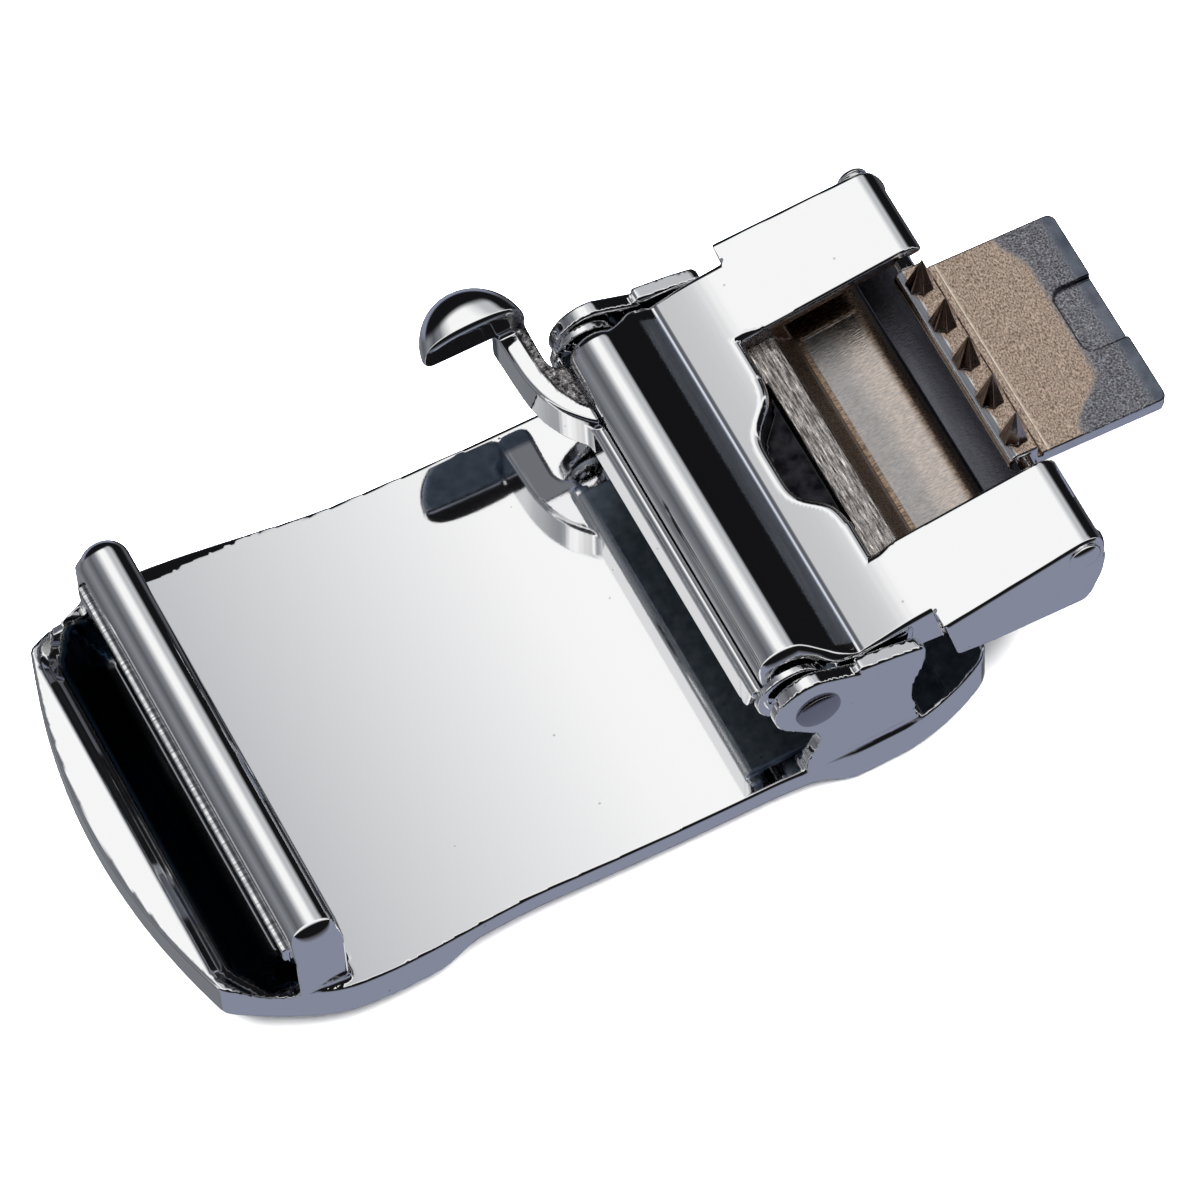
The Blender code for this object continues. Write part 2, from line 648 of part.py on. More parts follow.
def lid_outline():
    """Section of the lid: knuckle round the pin, then the thin plate."""
    knuckle = arc((0.0, 0.0), KNUCKLE_RADIUS, 130.0, 270.0, 12)
    under = LID_FACE - LID_THICKNESS
    plate = [
        (LID_LENGTH - 0.4 * MM, under),
        (LID_LENGTH, under + 0.3 * MM),
        (LID_LENGTH, LID_FACE),
        (KNUCKLE_RIGHT, LID_FACE),
        (KNUCKLE_RIGHT, KNUCKLE_TOP),
    ]
    return knuckle + plate


def build_spike(index, parent):
    """A cone with flutes cut down its sides, standing on the knuckle."""
    shape = bmesh.new()
    centre_y = SPIKE_PITCH * (index - (SPIKE_COUNT - 1) / 2.0)
    root = KNUCKLE_TOP - SPIKE_ROOT_DEPTH
    tip = KNUCKLE_TOP + SPIKE_HEIGHT
    points = 2 * SPIKE_FLUTES
    foot = []
    shoulder = []
    for step in range(points):
        angle = 2.0 * math.pi * step / points
        radius = SPIKE_RADIUS if step % 2 == 0 else SPIKE_FLUTE_RADIUS
        x = SPIKE_X + radius * math.cos(angle)
        y = centre_y + radius * math.sin(angle)
        foot.append(shape.verts.new((x, y, root)))
        shoulder.append(shape.verts.new((x, y, KNUCKLE_TOP)))
    summit = shape.verts.new((SPIKE_X, centre_y, tip))
    for step in range(points):
        following = (step + 1) % points
        shape.faces.new((foot[step], foot[following], shoulder[following], shoulder[step]))
        shape.faces.new((shoulder[step], shoulder[following], summit))
    shape.faces.new(foot)
    return make_object("spike", shape, parent, DARK_STEEL)


def build_lid(parent):
    """Knuckle and plate with the spikes fused on and the finger recess cut."""
    lid = prism("lid", lid_outline(), "Y", -LID_HALF_WIDTH, LID_HALF_WIDTH, parent, RAW_BRONZE)
    for index in range(SPIKE_COUNT):
        combine(lid, build_spike(index, parent), "UNION")
    beyond = LID_LENGTH + 2.0 * MM
    corner = 0.9 * MM
    recess = [(beyond, -RECESS_HALF_WIDTH), (beyond, RECESS_HALF_WIDTH)]
    recess += arc((RECESS_LEFT + corner, RECESS_HALF_WIDTH - corner), corner, 90.0, 180.0, 4)
    recess += arc((RECESS_LEFT + corner, -RECESS_HALF_WIDTH + corner), corner, 180.0, 270.0, 4)
    cut = prism("finger_recess", recess, "Z", LID_FACE - RECESS_DEPTH, LID_THICKNESS, parent)
    combine(lid, cut, "DIFFERENCE")
    pin_hole = circle((0.0, 0.0), LID_PIN_RADIUS + PIN_GAP, 16)
    past = 2.0 * LID_HALF_WIDTH
    combine(lid, prism("knuckle_bore", pin_hole, "Y", -past, past, parent), "DIFFERENCE")
    return lid


def head_start_beside_arm():
    """How far out the lid pin's heads sit, clear of the tapered arms."""
    share = (LID_PIN_X - LID_PIN_HEAD_RADIUS - ARM_START) / (ARM_END - ARM_START)
    return ARM_HALF_WIDTH + (ARM_END_HALF_WIDTH - ARM_HALF_WIDTH) * share + GAP


# The whole buckle, standing on the middle of its footprint

buckle = make_frame("buckle", (-FOOTPRINT_MIDDLE_X, -FOOTPRINT_MIDDLE_Y, PLATE_THICKNESS))
hinge = make_frame("hinge_axis", (HINGE_X, 0.0, HINGE_Z), 0.0, buckle)
clamp_frame = make_frame("clamp_frame", (HINGE_X, 0.0, HINGE_Z), CLAMP_TILT, buckle)
lever_frame = make_frame("lever_frame", (LEVER_X, 0.0, LEVER_Z), -CLAMP_TILT, clamp_frame)
lid_axis = make_frame("lid_axis", (LID_PIN_X, 0.0, LID_PIN_Z), 0.0, clamp_frame)
lid_frame = make_frame("lid_frame", (LID_PIN_X, 0.0, LID_PIN_Z), -LID_DROOP, clamp_frame)

build_front_plate(buckle)
hinge_heads = EAR_OUTER_Y + GAP
build_pin("hinge_pin", PIN_RADIUS, PIN_HEAD_RADIUS, PIN_HEAD_HEIGHT, hinge_heads, hinge, DARK_STEEL)
build_clamp(clamp_frame)
build_lever(lever_frame)
lid_heads = head_start_beside_arm()
build_pin("lid_pin", LID_PIN_RADIUS, LID_PIN_HEAD_RADIUS, LID_PIN_HEAD_HEIGHT, lid_heads, lid_axis, CHROME)
build_lid(lid_frame)
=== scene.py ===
"""Looks of a ratchet belt buckle for a 35 mm strap, lying on its curved front, back up.

The file follows the buckle as it is put together: front plate with its strap loop and
hinge ears, hinge pin, clamp body, release lever, lid pin, lid, then the studio round it.
Castings are drawn as distance fields in millimetres, negative inside the metal, and then
skinned, so each rounded edge and fillet is where a real casting has it.
"""
import math

import bmesh
import bpy
import numpy as np
from mathutils import Matrix, Vector


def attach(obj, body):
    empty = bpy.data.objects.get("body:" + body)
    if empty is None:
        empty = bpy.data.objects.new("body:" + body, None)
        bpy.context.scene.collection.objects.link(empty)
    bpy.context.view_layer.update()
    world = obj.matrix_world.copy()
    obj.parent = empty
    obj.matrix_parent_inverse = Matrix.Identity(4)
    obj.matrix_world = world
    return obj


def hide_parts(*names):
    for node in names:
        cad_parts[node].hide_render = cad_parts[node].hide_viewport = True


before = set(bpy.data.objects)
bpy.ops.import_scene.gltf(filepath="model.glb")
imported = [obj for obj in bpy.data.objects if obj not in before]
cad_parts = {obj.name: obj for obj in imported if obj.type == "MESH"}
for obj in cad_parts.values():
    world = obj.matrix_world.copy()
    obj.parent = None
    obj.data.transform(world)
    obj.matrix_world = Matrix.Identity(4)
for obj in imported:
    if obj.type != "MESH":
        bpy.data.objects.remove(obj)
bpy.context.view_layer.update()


# Front plate
# A zinc die casting, polished and chromed: a shallow hollow back, clipped corners and a
# waisted outline.  The strap loop's bar and posts and the two hinge ears are cast in one
# with it.

MM = 0.001
PLATE_TO_FRAME = Matrix.Translation(Vector((2.54, -2.476, 4.3)) * MM) @ Matrix.Scale(MM, 4)

HOLLOW_RADIUS = 198.0
PLATE_LEFT = -43.4
PLATE_RIGHT = 21.4
END_BULGE = 2.75
END_HALF_WIDTH = 16.4
CORNER_LENGTH = 5.2
CORNER_WIDTH = 3.1
CORNER_SWELL = 0.28
WAIST_HALF_WIDTH = 18.75
PLATE_THICKNESS = 4.3
TALL_WALL = 4.0
LOW_WALL = 2.1
FRONT_EDGE_INSET = 1.5
LEFT_FLARE = 1.3
RIGHT_FLARE = 0.55
SHOULDER_X = -33.0
SHOULDER_LENGTH = 5.2
SHOULDER_DROP = 0.55
CORNER_RADIUS = 2.2


def smooth_step(value, start, end):
    """0 at start, 1 at end, with an even S between them."""
    share = np.clip((value - start) / (end - start), 0.0, 1.0)
    return share * share * (3.0 - 2.0 * share)


def rounded_overlap(first, second, radius):
    """What two solids share, with the new edge rounded."""
    outside = np.hypot(np.maximum(radius + first, 0.0), np.maximum(radius + second, 0.0))
    return np.minimum(-radius, np.maximum(first, second)) + outside


def rounded_cut(solid, tool, radius):
    """The solid without the tool, with the cut's edge rounded."""
    return rounded_overlap(solid, -tool, radius)


def filleted(first, second, radius):
    """Both solids in one casting, with a fillet where they meet."""
    inside = np.hypot(np.maximum(radius - first, 0.0), np.maximum(radius - second, 0.0))
    return np.maximum(radius, np.minimum(first, second)) - inside


def outline_distance(points, u, v):
    """Distance of (u, v) from a closed outline, negative inside it."""
    nearest = np.full(np.broadcast(u, v).shape, 1e9)
    inside = np.zeros(nearest.shape, bool)
    for start, end in zip(points, points[1:] + points[:1]):
        run, rise = end[0] - start[0], end[1] - start[1]
        across, up = u - start[0], v - start[1]
        share = np.clip((across * run + up * rise) / (run * run + rise * rise), 0.0, 1.0)
        nearest = np.minimum(nearest, (across - run * share) ** 2 + (up - rise * share) ** 2)
        if rise != 0.0:
            between = (start[1] <= v) != (end[1] <= v)
            inside ^= between & (u < start[0] + (v - start[1]) * run / rise)
    return np.where(inside, -1.0, 1.0) * np.sqrt(nearest)


def softened(points, radius, steps=6):
    """An outline with each corner eased over the given length."""
    eased = []
    for index, corner in enumerate(points):
        corner = Vector(corner)
        before = Vector(points[index - 1]) - corner
        after = Vector(points[(index + 1) % len(points)]) - corner
        start = corner + before.normalized() * min(radius, 0.45 * before.length)
        end = corner + after.normalized() * min(radius, 0.45 * after.length)
        for step in range(steps + 1):
            share = step / steps
            point = start.lerp(corner, share).lerp(corner.lerp(end, share), share)
            eased.append((point.x, point.y))
    return eased


def arc(centre, radius, start_degrees, end_degrees, steps):
    """Points of a circular arc, both ends included."""
    angles = np.radians(np.linspace(start_degrees, end_degrees, steps + 1))
    return [(centre[0] + radius * math.cos(a), centre[1] + radius * math.sin(a)) for a in angles]


def slope_of(field, points, reach=0.01):
    """A field's value and gradient at many points."""
    value = field(*points.T)
    slope = np.empty_like(points)
    for axis in range(3):
        shifted = points.copy()
        shifted[:, axis] += reach
        slope[:, axis] = (field(*shifted.T) - value) / reach
    return value, slope


def skin_casting(name, field, low, high, cell, place, finish, marks=None):
    """Mesh of a field's zero surface, with its exact normals, put in place in metres."""
    ticks = [np.arange(low[axis], high[axis] + cell[axis], cell[axis]) for axis in range(3)]
    size = [len(tick) for tick in ticks]
    depth = field(ticks[0][:, None, None], ticks[1][None, :, None], ticks[2][None, None, :])
    depth = np.broadcast_to(depth, size)
    solid = depth < 0.0
    cells = [count - 1 for count in size]
    quads, crossings, owners = [], [], []
    for axis in range(3):
        first = tuple(slice(0, -1) if other == axis else slice(None) for other in range(3))
        second = tuple(slice(1, None) if other == axis else slice(None) for other in range(3))
        edges = np.argwhere(solid[first] != solid[second])
        here = depth[first][tuple(edges.T)]
        there = depth[second][tuple(edges.T)]
        point = np.stack([ticks[other][edges[:, other]] for other in range(3)], 1)
        point[:, axis] += cell[axis] * here / (here - there)
        ring = []
        for step_u, step_v in ((1, 1), (0, 1), (0, 0), (1, 0)):
            owner = edges.copy()
            owner[:, (axis + 1) % 3] -= step_u
            owner[:, (axis + 2) % 3] -= step_v
            ring.append(np.ravel_multi_index(tuple(owner.T), cells))
            crossings.append(point)
            owners.append(ring[-1])
        ring = np.stack(ring, 1)
        inward = here > 0.0
        ring[inward] = ring[inward][:, ::-1]
        quads.append(ring)
    used, owner = np.unique(np.concatenate(owners), return_inverse=True)
    crossings = np.concatenate(crossings)
    hits = np.bincount(owner, minlength=len(used))
    points = np.stack([np.bincount(owner, crossings[:, axis]) / hits for axis in range(3)], 1)
    for _ in range(2):
        value, slope = slope_of(field, points)
        step = value / np.maximum((slope ** 2).sum(1), 0.25)
        points -= np.clip(step, -min(cell), min(cell))[:, None] * slope
    value, slope = slope_of(field, points)
    normals = slope / np.linalg.norm(slope, axis=1, keepdims=True)
    faces = np.searchsorted(used, np.concatenate(quads))
    turn = np.array(place.to_3x3().normalized())
    placed = points @ np.array(place.to_3x3()).T + np.array(place.translation)
    mesh = bpy.data.meshes.new(name)
    mesh.from_pydata(placed.tolist(), [], faces.tolist())
    mesh.polygons.foreach_set("use_smooth", [True] * len(faces))
    mesh.materials.append(finish)
    for label, mark in (marks or {}).items():
        layer = mesh.attributes.new(label, "FLOAT", "POINT")
        layer.data.foreach_set("value", mark(*points.T).astype(np.float32))
    mesh.normals_split_custom_set_from_vertices((normals @ turn.T).tolist())
    piece = bpy.data.objects.new(name, mesh)
    bpy.context.collection.objects.link(piece)
    return piece


def make_group(name, inputs, outputs):
    """An empty shader node group with float inputs and named outputs."""
    group = bpy.data.node_groups.new(name, "ShaderNodeTree")
    for label, value in inputs:
        socket = group.interface.new_socket(label, in_out="INPUT", socket_type="NodeSocketFloat")
        socket.default_value = value
    for label, kind in outputs:
        group.interface.new_socket(label, in_out="OUTPUT", socket_type=kind)
    return group, group.nodes.new("NodeGroupInput"), group.nodes.new("NodeGroupOutput")


def object_place(nodes):
    """Object coordinates."""
    return nodes.new("ShaderNodeTexCoord").outputs["Object"]


def build_cast_grain():
    """Orange-peel grain and stray pits of a plated casting, as a height in metres."""
    group, given, result = make_group(
        "cast_grain",
        (("Grain Size", 0.00012), ("Grain Height", 0.000002), ("Pit Height", 0.00002)),
        (("Height", "NodeSocketFloat"), ("Pits", "NodeSocketFloat")),
    )
    nodes, links = group.nodes, group.links
    place = object_place(nodes)
    per_metre = nodes.new("ShaderNodeMath")
    per_metre.operation = "DIVIDE"
    per_metre.inputs[0].default_value = 1.0
    links.new(given.outputs["Grain Size"], per_metre.inputs[1])
    grain = nodes.new("ShaderNodeTexNoise")
    grain.inputs["Detail"].default_value = 2.0
    links.new(place, grain.inputs["Vector"])
    links.new(per_metre.outputs[0], grain.inputs["Scale"])
    pits = nodes.new("ShaderNodeTexVoronoi")
    pits.inputs["Scale"].default_value = 260.0
    links.new(place, pits.inputs["Vector"])
    pit_mask = nodes.new("ShaderNodeMapRange")
    pit_mask.inputs["From Min"].default_value = 0.035
    pit_mask.inputs["From Max"].default_value = 0.015
    links.new(pits.outputs["Distance"], pit_mask.inputs["Value"])
    grain_height = nodes.new("ShaderNodeMath")
    grain_height.operation = "MULTIPLY"
    links.new(grain.outputs["Fac"], grain_height.inputs[0])
    links.new(given.outputs["Grain Height"], grain_height.inputs[1])
    pit_height = nodes.new("ShaderNodeMath")
    pit_height.operation = "MULTIPLY"
    links.new(pit_mask.outputs[0], pit_height.inputs[0])
    links.new(given.outputs["Pit Height"], pit_height.inputs[1])
    height = nodes.new("ShaderNodeMath")
    height.operation = "SUBTRACT"
    links.new(grain_height.outputs[0], height.inputs[0])
    links.new(pit_height.outputs[0], height.inputs[1])
    links.new(height.outputs[0], result.inputs["Height"])
    links.new(pit_mask.outputs[0], result.inputs["Pits"])
    return group


CAST_GRAIN = build_cast_grain()


def make_metal(name, colour, roughness, grain_size, grain_height, pit_height):
    """A plated metal: one colour, a little uneven gloss, and the casting's grain."""
    finish = bpy.data.materials.new(name)
    finish.use_nodes = True
    nodes, links = finish.node_tree.nodes, finish.node_tree.links
    shader = nodes["Principled BSDF"]
    shader.inputs["Metallic"].default_value = 1.0
    grain = nodes.new("ShaderNodeGroup")
    grain.node_tree = CAST_GRAIN
    grain.name = "cast grain"
    grain.inputs["Grain Size"].default_value = grain_size
    grain.inputs["Grain Height"].default_value = grain_height
    grain.inputs["Pit Height"].default_value = pit_height
    bump = nodes.new("ShaderNodeBump")
    bump.name = "grain bump"
    bump.inputs["Strength"].default_value = 1.0
    bump.inputs["Distance"].default_value = 1.0
    links.new(grain.outputs["Height"], bump.inputs["Height"])
    links.new(bump.outputs["Normal"], shader.inputs["Normal"])
    haze = nodes.new("ShaderNodeTexNoise")
    haze.inputs["Scale"].default_value = 160.0
    haze.inputs["Detail"].default_value = 4.0
    links.new(object_place(nodes), haze.inputs["Vector"])
    gloss = nodes.new("ShaderNodeMapRange")
    gloss.inputs["From Min"].default_value = 0.3
    gloss.inputs["From Max"].default_value = 0.7
    gloss.inputs["To Min"].default_value = 0.7 * roughness
    gloss.inputs["To Max"].default_value = 1.3 * roughness
    links.new(haze.outputs["Fac"], gloss.inputs["Value"])
    links.new(gloss.outputs[0], shader.inputs["Roughness"])
    tone = nodes.new("ShaderNodeMix")
    tone.name = "tone"
    tone.data_type = "RGBA"
    tone.inputs[6].default_value = (*colour, 1.0)
    tone.inputs[7].default_value = (*(0.6 * part for part in colour), 1.0)
    links.new(grain.outputs["Pits"], tone.inputs[0])
    links.new(tone.outputs[2], shader.inputs["Base Color"])
    return finish


def add_region(finish, label, dark, light, roughness, stretch, relief):
    """Where the named attribute is 1, a coarser metal mottled between two colours."""
    nodes, links = finish.node_tree.nodes, finish.node_tree.links
    shader = nodes["Principled BSDF"]
    mark = nodes.new("ShaderNodeAttribute")
    mark.attribute_name = label
    turned = nodes.new("ShaderNodeMapping")
    turned.inputs["Scale"].default_value = stretch
    links.new(object_place(nodes), turned.inputs["Vector"])
    mottle = nodes.new("ShaderNodeTexNoise")
    mottle.inputs["Scale"].default_value = 1000.0
    mottle.inputs["Detail"].default_value = 4.0
    links.new(turned.outputs[0], mottle.inputs["Vector"])
    contrast = nodes.new("ShaderNodeMapRange")
    contrast.inputs["From Min"].default_value = 0.34
    contrast.inputs["From Max"].default_value = 0.66
    links.new(mottle.outputs["Fac"], contrast.inputs["Value"])
    shade = nodes.new("ShaderNodeMix")
    shade.data_type = "RGBA"
    shade.inputs[6].default_value = (*dark, 1.0)
    shade.inputs[7].default_value = (*light, 1.0)
    links.new(contrast.outputs[0], shade.inputs[0])
    colour = nodes.new("ShaderNodeMix")
    colour.data_type = "RGBA"
    links.new(mark.outputs["Fac"], colour.inputs[0])
    links.new(shader.inputs["Base Color"].links[0].from_socket, colour.inputs[6])
    links.new(shade.outputs[2], colour.inputs[7])
    links.new(colour.outputs[2], shader.inputs["Base Color"])
    gloss = nodes.new("ShaderNodeMix")
    links.new(mark.outputs["Fac"], gloss.inputs[0])
    links.new(shader.inputs["Roughness"].links[0].from_socket, gloss.inputs[2])
    gloss.inputs[3].default_value = roughness
    links.new(gloss.outputs[0], shader.inputs["Roughness"])
    bump = nodes["grain bump"]
    height = nodes.new("ShaderNodeMath")
    height.operation = "MULTIPLY"
    height.inputs[1].default_value = relief
    links.new(contrast.outputs[0], height.inputs[0])
    total = nodes.new("ShaderNodeMath")
    total.operation = "MULTIPLY_ADD"
    links.new(height.outputs[0], total.inputs[0])
    links.new(mark.outputs["Fac"], total.inputs[1])
    links.new(bump.inputs["Height"].links[0].from_socket, total.inputs[2])
    links.new(total.outputs[0], bump.inputs["Height"])


CHROME = ((0.965, 0.965, 0.97), 0.035, 0.00012, 0.0000004, 0.000003)
PLATE_CHROME = make_metal("plate_chrome", *CHROME)
# Near-black with blue brushed streaks: painted shade under the bar on the pocket floor.
POCKET_SHADE_BLUE = ((0.002, 0.003, 0.006), (0.014, 0.030, 0.055), 0.16, (1.5, 0.04, 1.5), 0.0)
FILED_METAL = ((0.45, 0.46, 0.48), (1.0, 1.0, 1.0), 0.18, (0.5, 7.0, 0.5), 0.00001)
add_region(PLATE_CHROME, "pocket_floor_shade", *POCKET_SHADE_BLUE)
add_region(PLATE_CHROME, "filed_seam", *FILED_METAL)


def half_width(x):
    """Half width of the plate along its waisted long sides."""
    left = LEFT_FLARE * smooth_step(-x, 16.5, 33.0)
    right = RIGHT_FLARE * smooth_step(x, 1.5, 10.5)
    shoulder = SHOULDER_DROP * np.maximum(0.0, (SHOULDER_X - x) / SHOULDER_LENGTH) ** 2
    return WAIST_HALF_WIDTH + left + right - np.minimum(shoulder, 2.0)


def plate_plan(x, y):
    """Plan of the plate: waisted sides, bulged ends, big rounded corners."""
    sides = np.abs(y) - half_width(x)
    across = np.clip(np.abs(y) / END_HALF_WIDTH, 0.0, 1.3)
    bulge = END_BULGE * (1.0 - across ** 2)
    lean = np.sqrt(1.0 + (2.0 * END_BULGE * across / END_HALF_WIDTH) ** 2)
    past_end = np.maximum(x - PLATE_RIGHT, PLATE_LEFT - x)
    ends = past_end - bulge
    span = math.hypot(CORNER_LENGTH, CORNER_WIDTH)
    beyond = past_end * CORNER_WIDTH + (np.abs(y) - END_HALF_WIDTH) * CORNER_LENGTH
    corner = beyond / span - CORNER_SWELL
    return rounded_overlap(rounded_overlap(sides, corner, CORNER_RADIUS), ends / lean, 0.5)


BAR_X = -36.0
POCKET_PLAN = [(-41.93, -14.7), (-39.9, -17.85), (-33.4, -17.85)]
POCKET_PLAN += [(x, -y) for x, y in reversed(POCKET_PLAN)]
POCKET_PLAN = softened(POCKET_PLAN, 0.5, 4)
POCKET_DEPTH = 1.0
LEDGE_WIDTH = 0.72
LEDGE_DEPTH = 0.55
LEDGE_SLOPE = 0.36
LIP_WIDTH = 0.75


def pocket(x, y, depth):
    """Pocket under the bar: a sloped lip, a narrow ledge and the deep floor."""
    plan = outline_distance(POCKET_PLAN, x, y)
    left_side = x - BAR_X
    deep = np.maximum(plan, -POCKET_DEPTH - depth)
    ledge = np.maximum(plan - LEDGE_WIDTH, -LEDGE_DEPTH - depth + LEDGE_SLOPE * (plan - LEDGE_WIDTH))
    fall = LEDGE_DEPTH / LIP_WIDTH
    lip = ((plan - LEDGE_WIDTH) * fall - (depth + LEDGE_DEPTH)) / math.hypot(fall, 1.0)
    lip = np.maximum(np.maximum(lip, -LEDGE_DEPTH - depth), plan - LEDGE_WIDTH - LIP_WIDTH)
    return np.minimum(deep, np.maximum(np.minimum(ledge, lip), left_side))


BAR_HALF_WIDTH = 2.05
BAR_TOP = 11.9
BAR_UNDERSIDE = 7.0
POST_OUTER_Y = 19.15
POST_INNER_Y = 17.6
SEAM_WIDTH = 0.5
SEAM_TOP = 8.6
SEAM_SLOPE = 0.12
POST_FOOT = 1.6


def strap_loop(x, y, z):
    """Round-topped bar on two flat posts."""
    crown_z = BAR_TOP - BAR_HALF_WIDTH
    section = np.hypot(x - BAR_X, np.maximum(z - crown_z, 0.0)) - BAR_HALF_WIDTH
    ends = np.abs(y) - POST_OUTER_Y
    block = rounded_overlap(section, ends, 0.4 + 1.25 * smooth_step(z, 8.6, 10.4))
    beside = BAR_X - BAR_HALF_WIDTH - x
    seam = np.maximum(beside - SEAM_WIDTH, z - SEAM_TOP + SEAM_SLOPE * beside)
    seam = np.maximum(np.maximum(seam, x - BAR_X), np.maximum(np.abs(y) - POST_INNER_Y, 6.0 - z))
    block = filleted(block, seam, 0.15)
    way = rounded_overlap(np.abs(y) - POST_INNER_Y, z - BAR_UNDERSIDE, 0.3)
    return np.maximum(rounded_cut(block, way, 0.25), POST_FOOT - z)


EAR_SIDE = arc((5.4, 10.2), 3.1, 75.0, 225.0, 24)
EAR_SIDE += softened([(5.3, 6.2), (6.1, 4.6), (5.9, 3.0), (4.9, 1.4)], 0.8, 5)[2:-2]
EAR_SIDE += [(4.6, -1.2), (14.8, -1.2)]
EAR_BACK = [(14.5, 1.4), (13.9, 3.8), (14.1, 6.4), (15.0, 8.3), (15.2, 11.0), (12.6, 11.7), (9.2, 12.3)]
EAR_SIDE += softened(EAR_BACK, 0.8, 5)
EAR_INNER_Y = 17.5
EAR_OUTER_Y = 18.85


def hinge_ears(x, y, z):
    """Two flat ears that carry the hinge pin."""
    side = outline_distance(EAR_SIDE, x, z)
    middle = (EAR_INNER_Y + EAR_OUTER_Y) / 2.0
    across = np.abs(np.abs(y) - middle) - (EAR_OUTER_Y - middle)
    return rounded_overlap(side, across, 0.3)


END_FALL = 0.04
WORN_WIDTH = 1.75
WORN_SLOPE = 0.45


def front_plate(x, y, z):
    """The whole front casting."""
    depth = z - x * x / (2.0 * HOLLOW_RADIUS)
    plan = plate_plan(x, y)
    level_end = (PLATE_LEFT ** 2 - x * x) / (2.0 * HOLLOW_RADIUS)
    hollow = depth - np.minimum(level_end, 0.0) - END_FALL * np.minimum(x - PLATE_LEFT, 0.0)
    worn_width = WORN_WIDTH * np.clip((-22.0 - x) / 10.4, 0.0, 1.0)
    hollow = hollow + WORN_SLOPE * np.maximum(y - half_width(x) + worn_width, 0.0)
    tall = np.maximum(smooth_step(-x, 23.0, 27.0), smooth_step(x, 5.0, 9.0))
    wall = LOW_WALL + (TALL_WALL - LOW_WALL) * tall
    drop = PLATE_THICKNESS - wall
    front_edge = (plan * drop - (wall + depth) * FRONT_EDGE_INSET) / np.hypot(drop, FRONT_EDGE_INSET)
    body = rounded_overlap(plan, hollow, 0.3)
    body = rounded_overlap(body, front_edge, 0.4)
    body = rounded_overlap(body, -PLATE_THICKNESS - depth, 0.3)
    body = rounded_cut(body, pocket(x, y, depth), 0.12)
    body = filleted(body, strap_loop(x, y, z), 0.45)
    return filleted(body, hinge_ears(x, y, z), 0.35)


def pocket_floor_shade(x, y, z):
    """1 on the pocket's deep floor, where near-black is painted as the shade under the bar."""
    depth = z - x * x / (2.0 * HOLLOW_RADIUS)
    shown = smooth_step(-depth, 0.62, 0.85) * smooth_step(depth, -2.5, -2.0)
    return shown * smooth_step(-outline_distance(POCKET_PLAN, x, y), -0.1, 0.1)


def filed_seam(x, y, z):
    """1 on the filed mould seam along the bar's left side."""
    beside = smooth_step(BAR_X - BAR_HALF_WIDTH + 0.06 - x, -0.05, 0.0)
    between = smooth_step(-np.abs(y), -POST_INNER_Y, 0.3 - POST_INNER_Y)
    return beside * smooth_step(z, 6.8, 7.0) * smooth_step(-z, -9.2, -8.9) * between


plate = skin_casting(
    "plate_casting",
    front_plate,
    (-47.0, -21.5, -5.2),
    (25.0, 21.5, 14.2),
    (0.32, 0.33, 0.22),
    PLATE_TO_FRAME,
    PLATE_CHROME,
    {"pocket_floor_shade": pocket_floor_shade, "filed_seam": filed_seam},
)
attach(plate, "plate")
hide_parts("front_plate")


# Hinge pin
# Plain steel rivet through ears and clamp, its two low domed heads peened over.

HINGE = (5.85, 9.4)
DARK_STEEL = make_metal("dark_steel", (0.42, 0.42, 0.46), 0.28, 0.00008, 0.000003, 0.00002)


def rivet_profile(shaft_radius, head_radius, head_height, head_start, steps=12):
    """Half profile of a pin with domed heads, as (radius, y) from end to end."""
    dome = [(head_radius * 0.93, head_start), (head_radius, head_start + 0.1 * head_height)]
    for step in range(1, steps + 1):
        angle = math.radians(90.0 * step / steps)
        rise = head_height * (0.1 + 0.9 * math.sin(angle))
        dome.append((head_radius * math.cos(angle) ** 0.8, head_start + rise))
    dome[-1] = (0.0, head_start + head_height)
    half = [(shaft_radius, head_start)] + dome
    return [(radius, -y) for radius, y in reversed(half)] + half


def turned_pin(name, profile, place, finish, sides=64):
    """A profile turned about Y, closed at both ends."""
    shape = bmesh.new()
    rings = []
    for radius, y in profile:
        if radius == 0.0:
            rings.append([shape.verts.new((0.0, y, 0.0))] * sides)
            continue
        ring = []
        for side in range(sides):
            angle = 2.0 * math.pi * side / sides
            ring.append(shape.verts.new((radius * math.cos(angle), y, radius * math.sin(angle))))
        rings.append(ring)
    for lower, upper in zip(rings, rings[1:]):
        for side in range(sides):
            following = (side + 1) % sides
            corners = [lower[side], lower[following], upper[following], upper[side]]
            shape.faces.new(dict.fromkeys(corners))
    bmesh.ops.recalc_face_normals(shape, faces=shape.faces)
    shape.transform(place)
    mesh = bpy.data.meshes.new(name)
    shape.to_mesh(mesh)
    shape.free()
    mesh.polygons.foreach_set("use_smooth", [True] * len(mesh.polygons))
    mesh.materials.append(finish)
    piece = bpy.data.objects.new(name, mesh)
    bpy.context.collection.objects.link(piece)
    return piece


hinge_place = PLATE_TO_FRAME @ Matrix.Translation((HINGE[0], 0.0, HINGE[1]))
HEAD_GAP = 0.02
hinge_profile = rivet_profile(1.3, 1.85, 0.6, EAR_OUTER_Y + HEAD_GAP)
hinge_pin = turned_pin("hinge_rivet", hinge_profile, hinge_place, DARK_STEEL)
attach(hinge_pin, "plate")
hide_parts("hinge_pin")


# Clamp body
# One chromed casting: a barrel-shaped nose round the pin, a flat web, and two arms with
# side walls that make the pocket for the strap's cut end.  Its inside is left as cast.

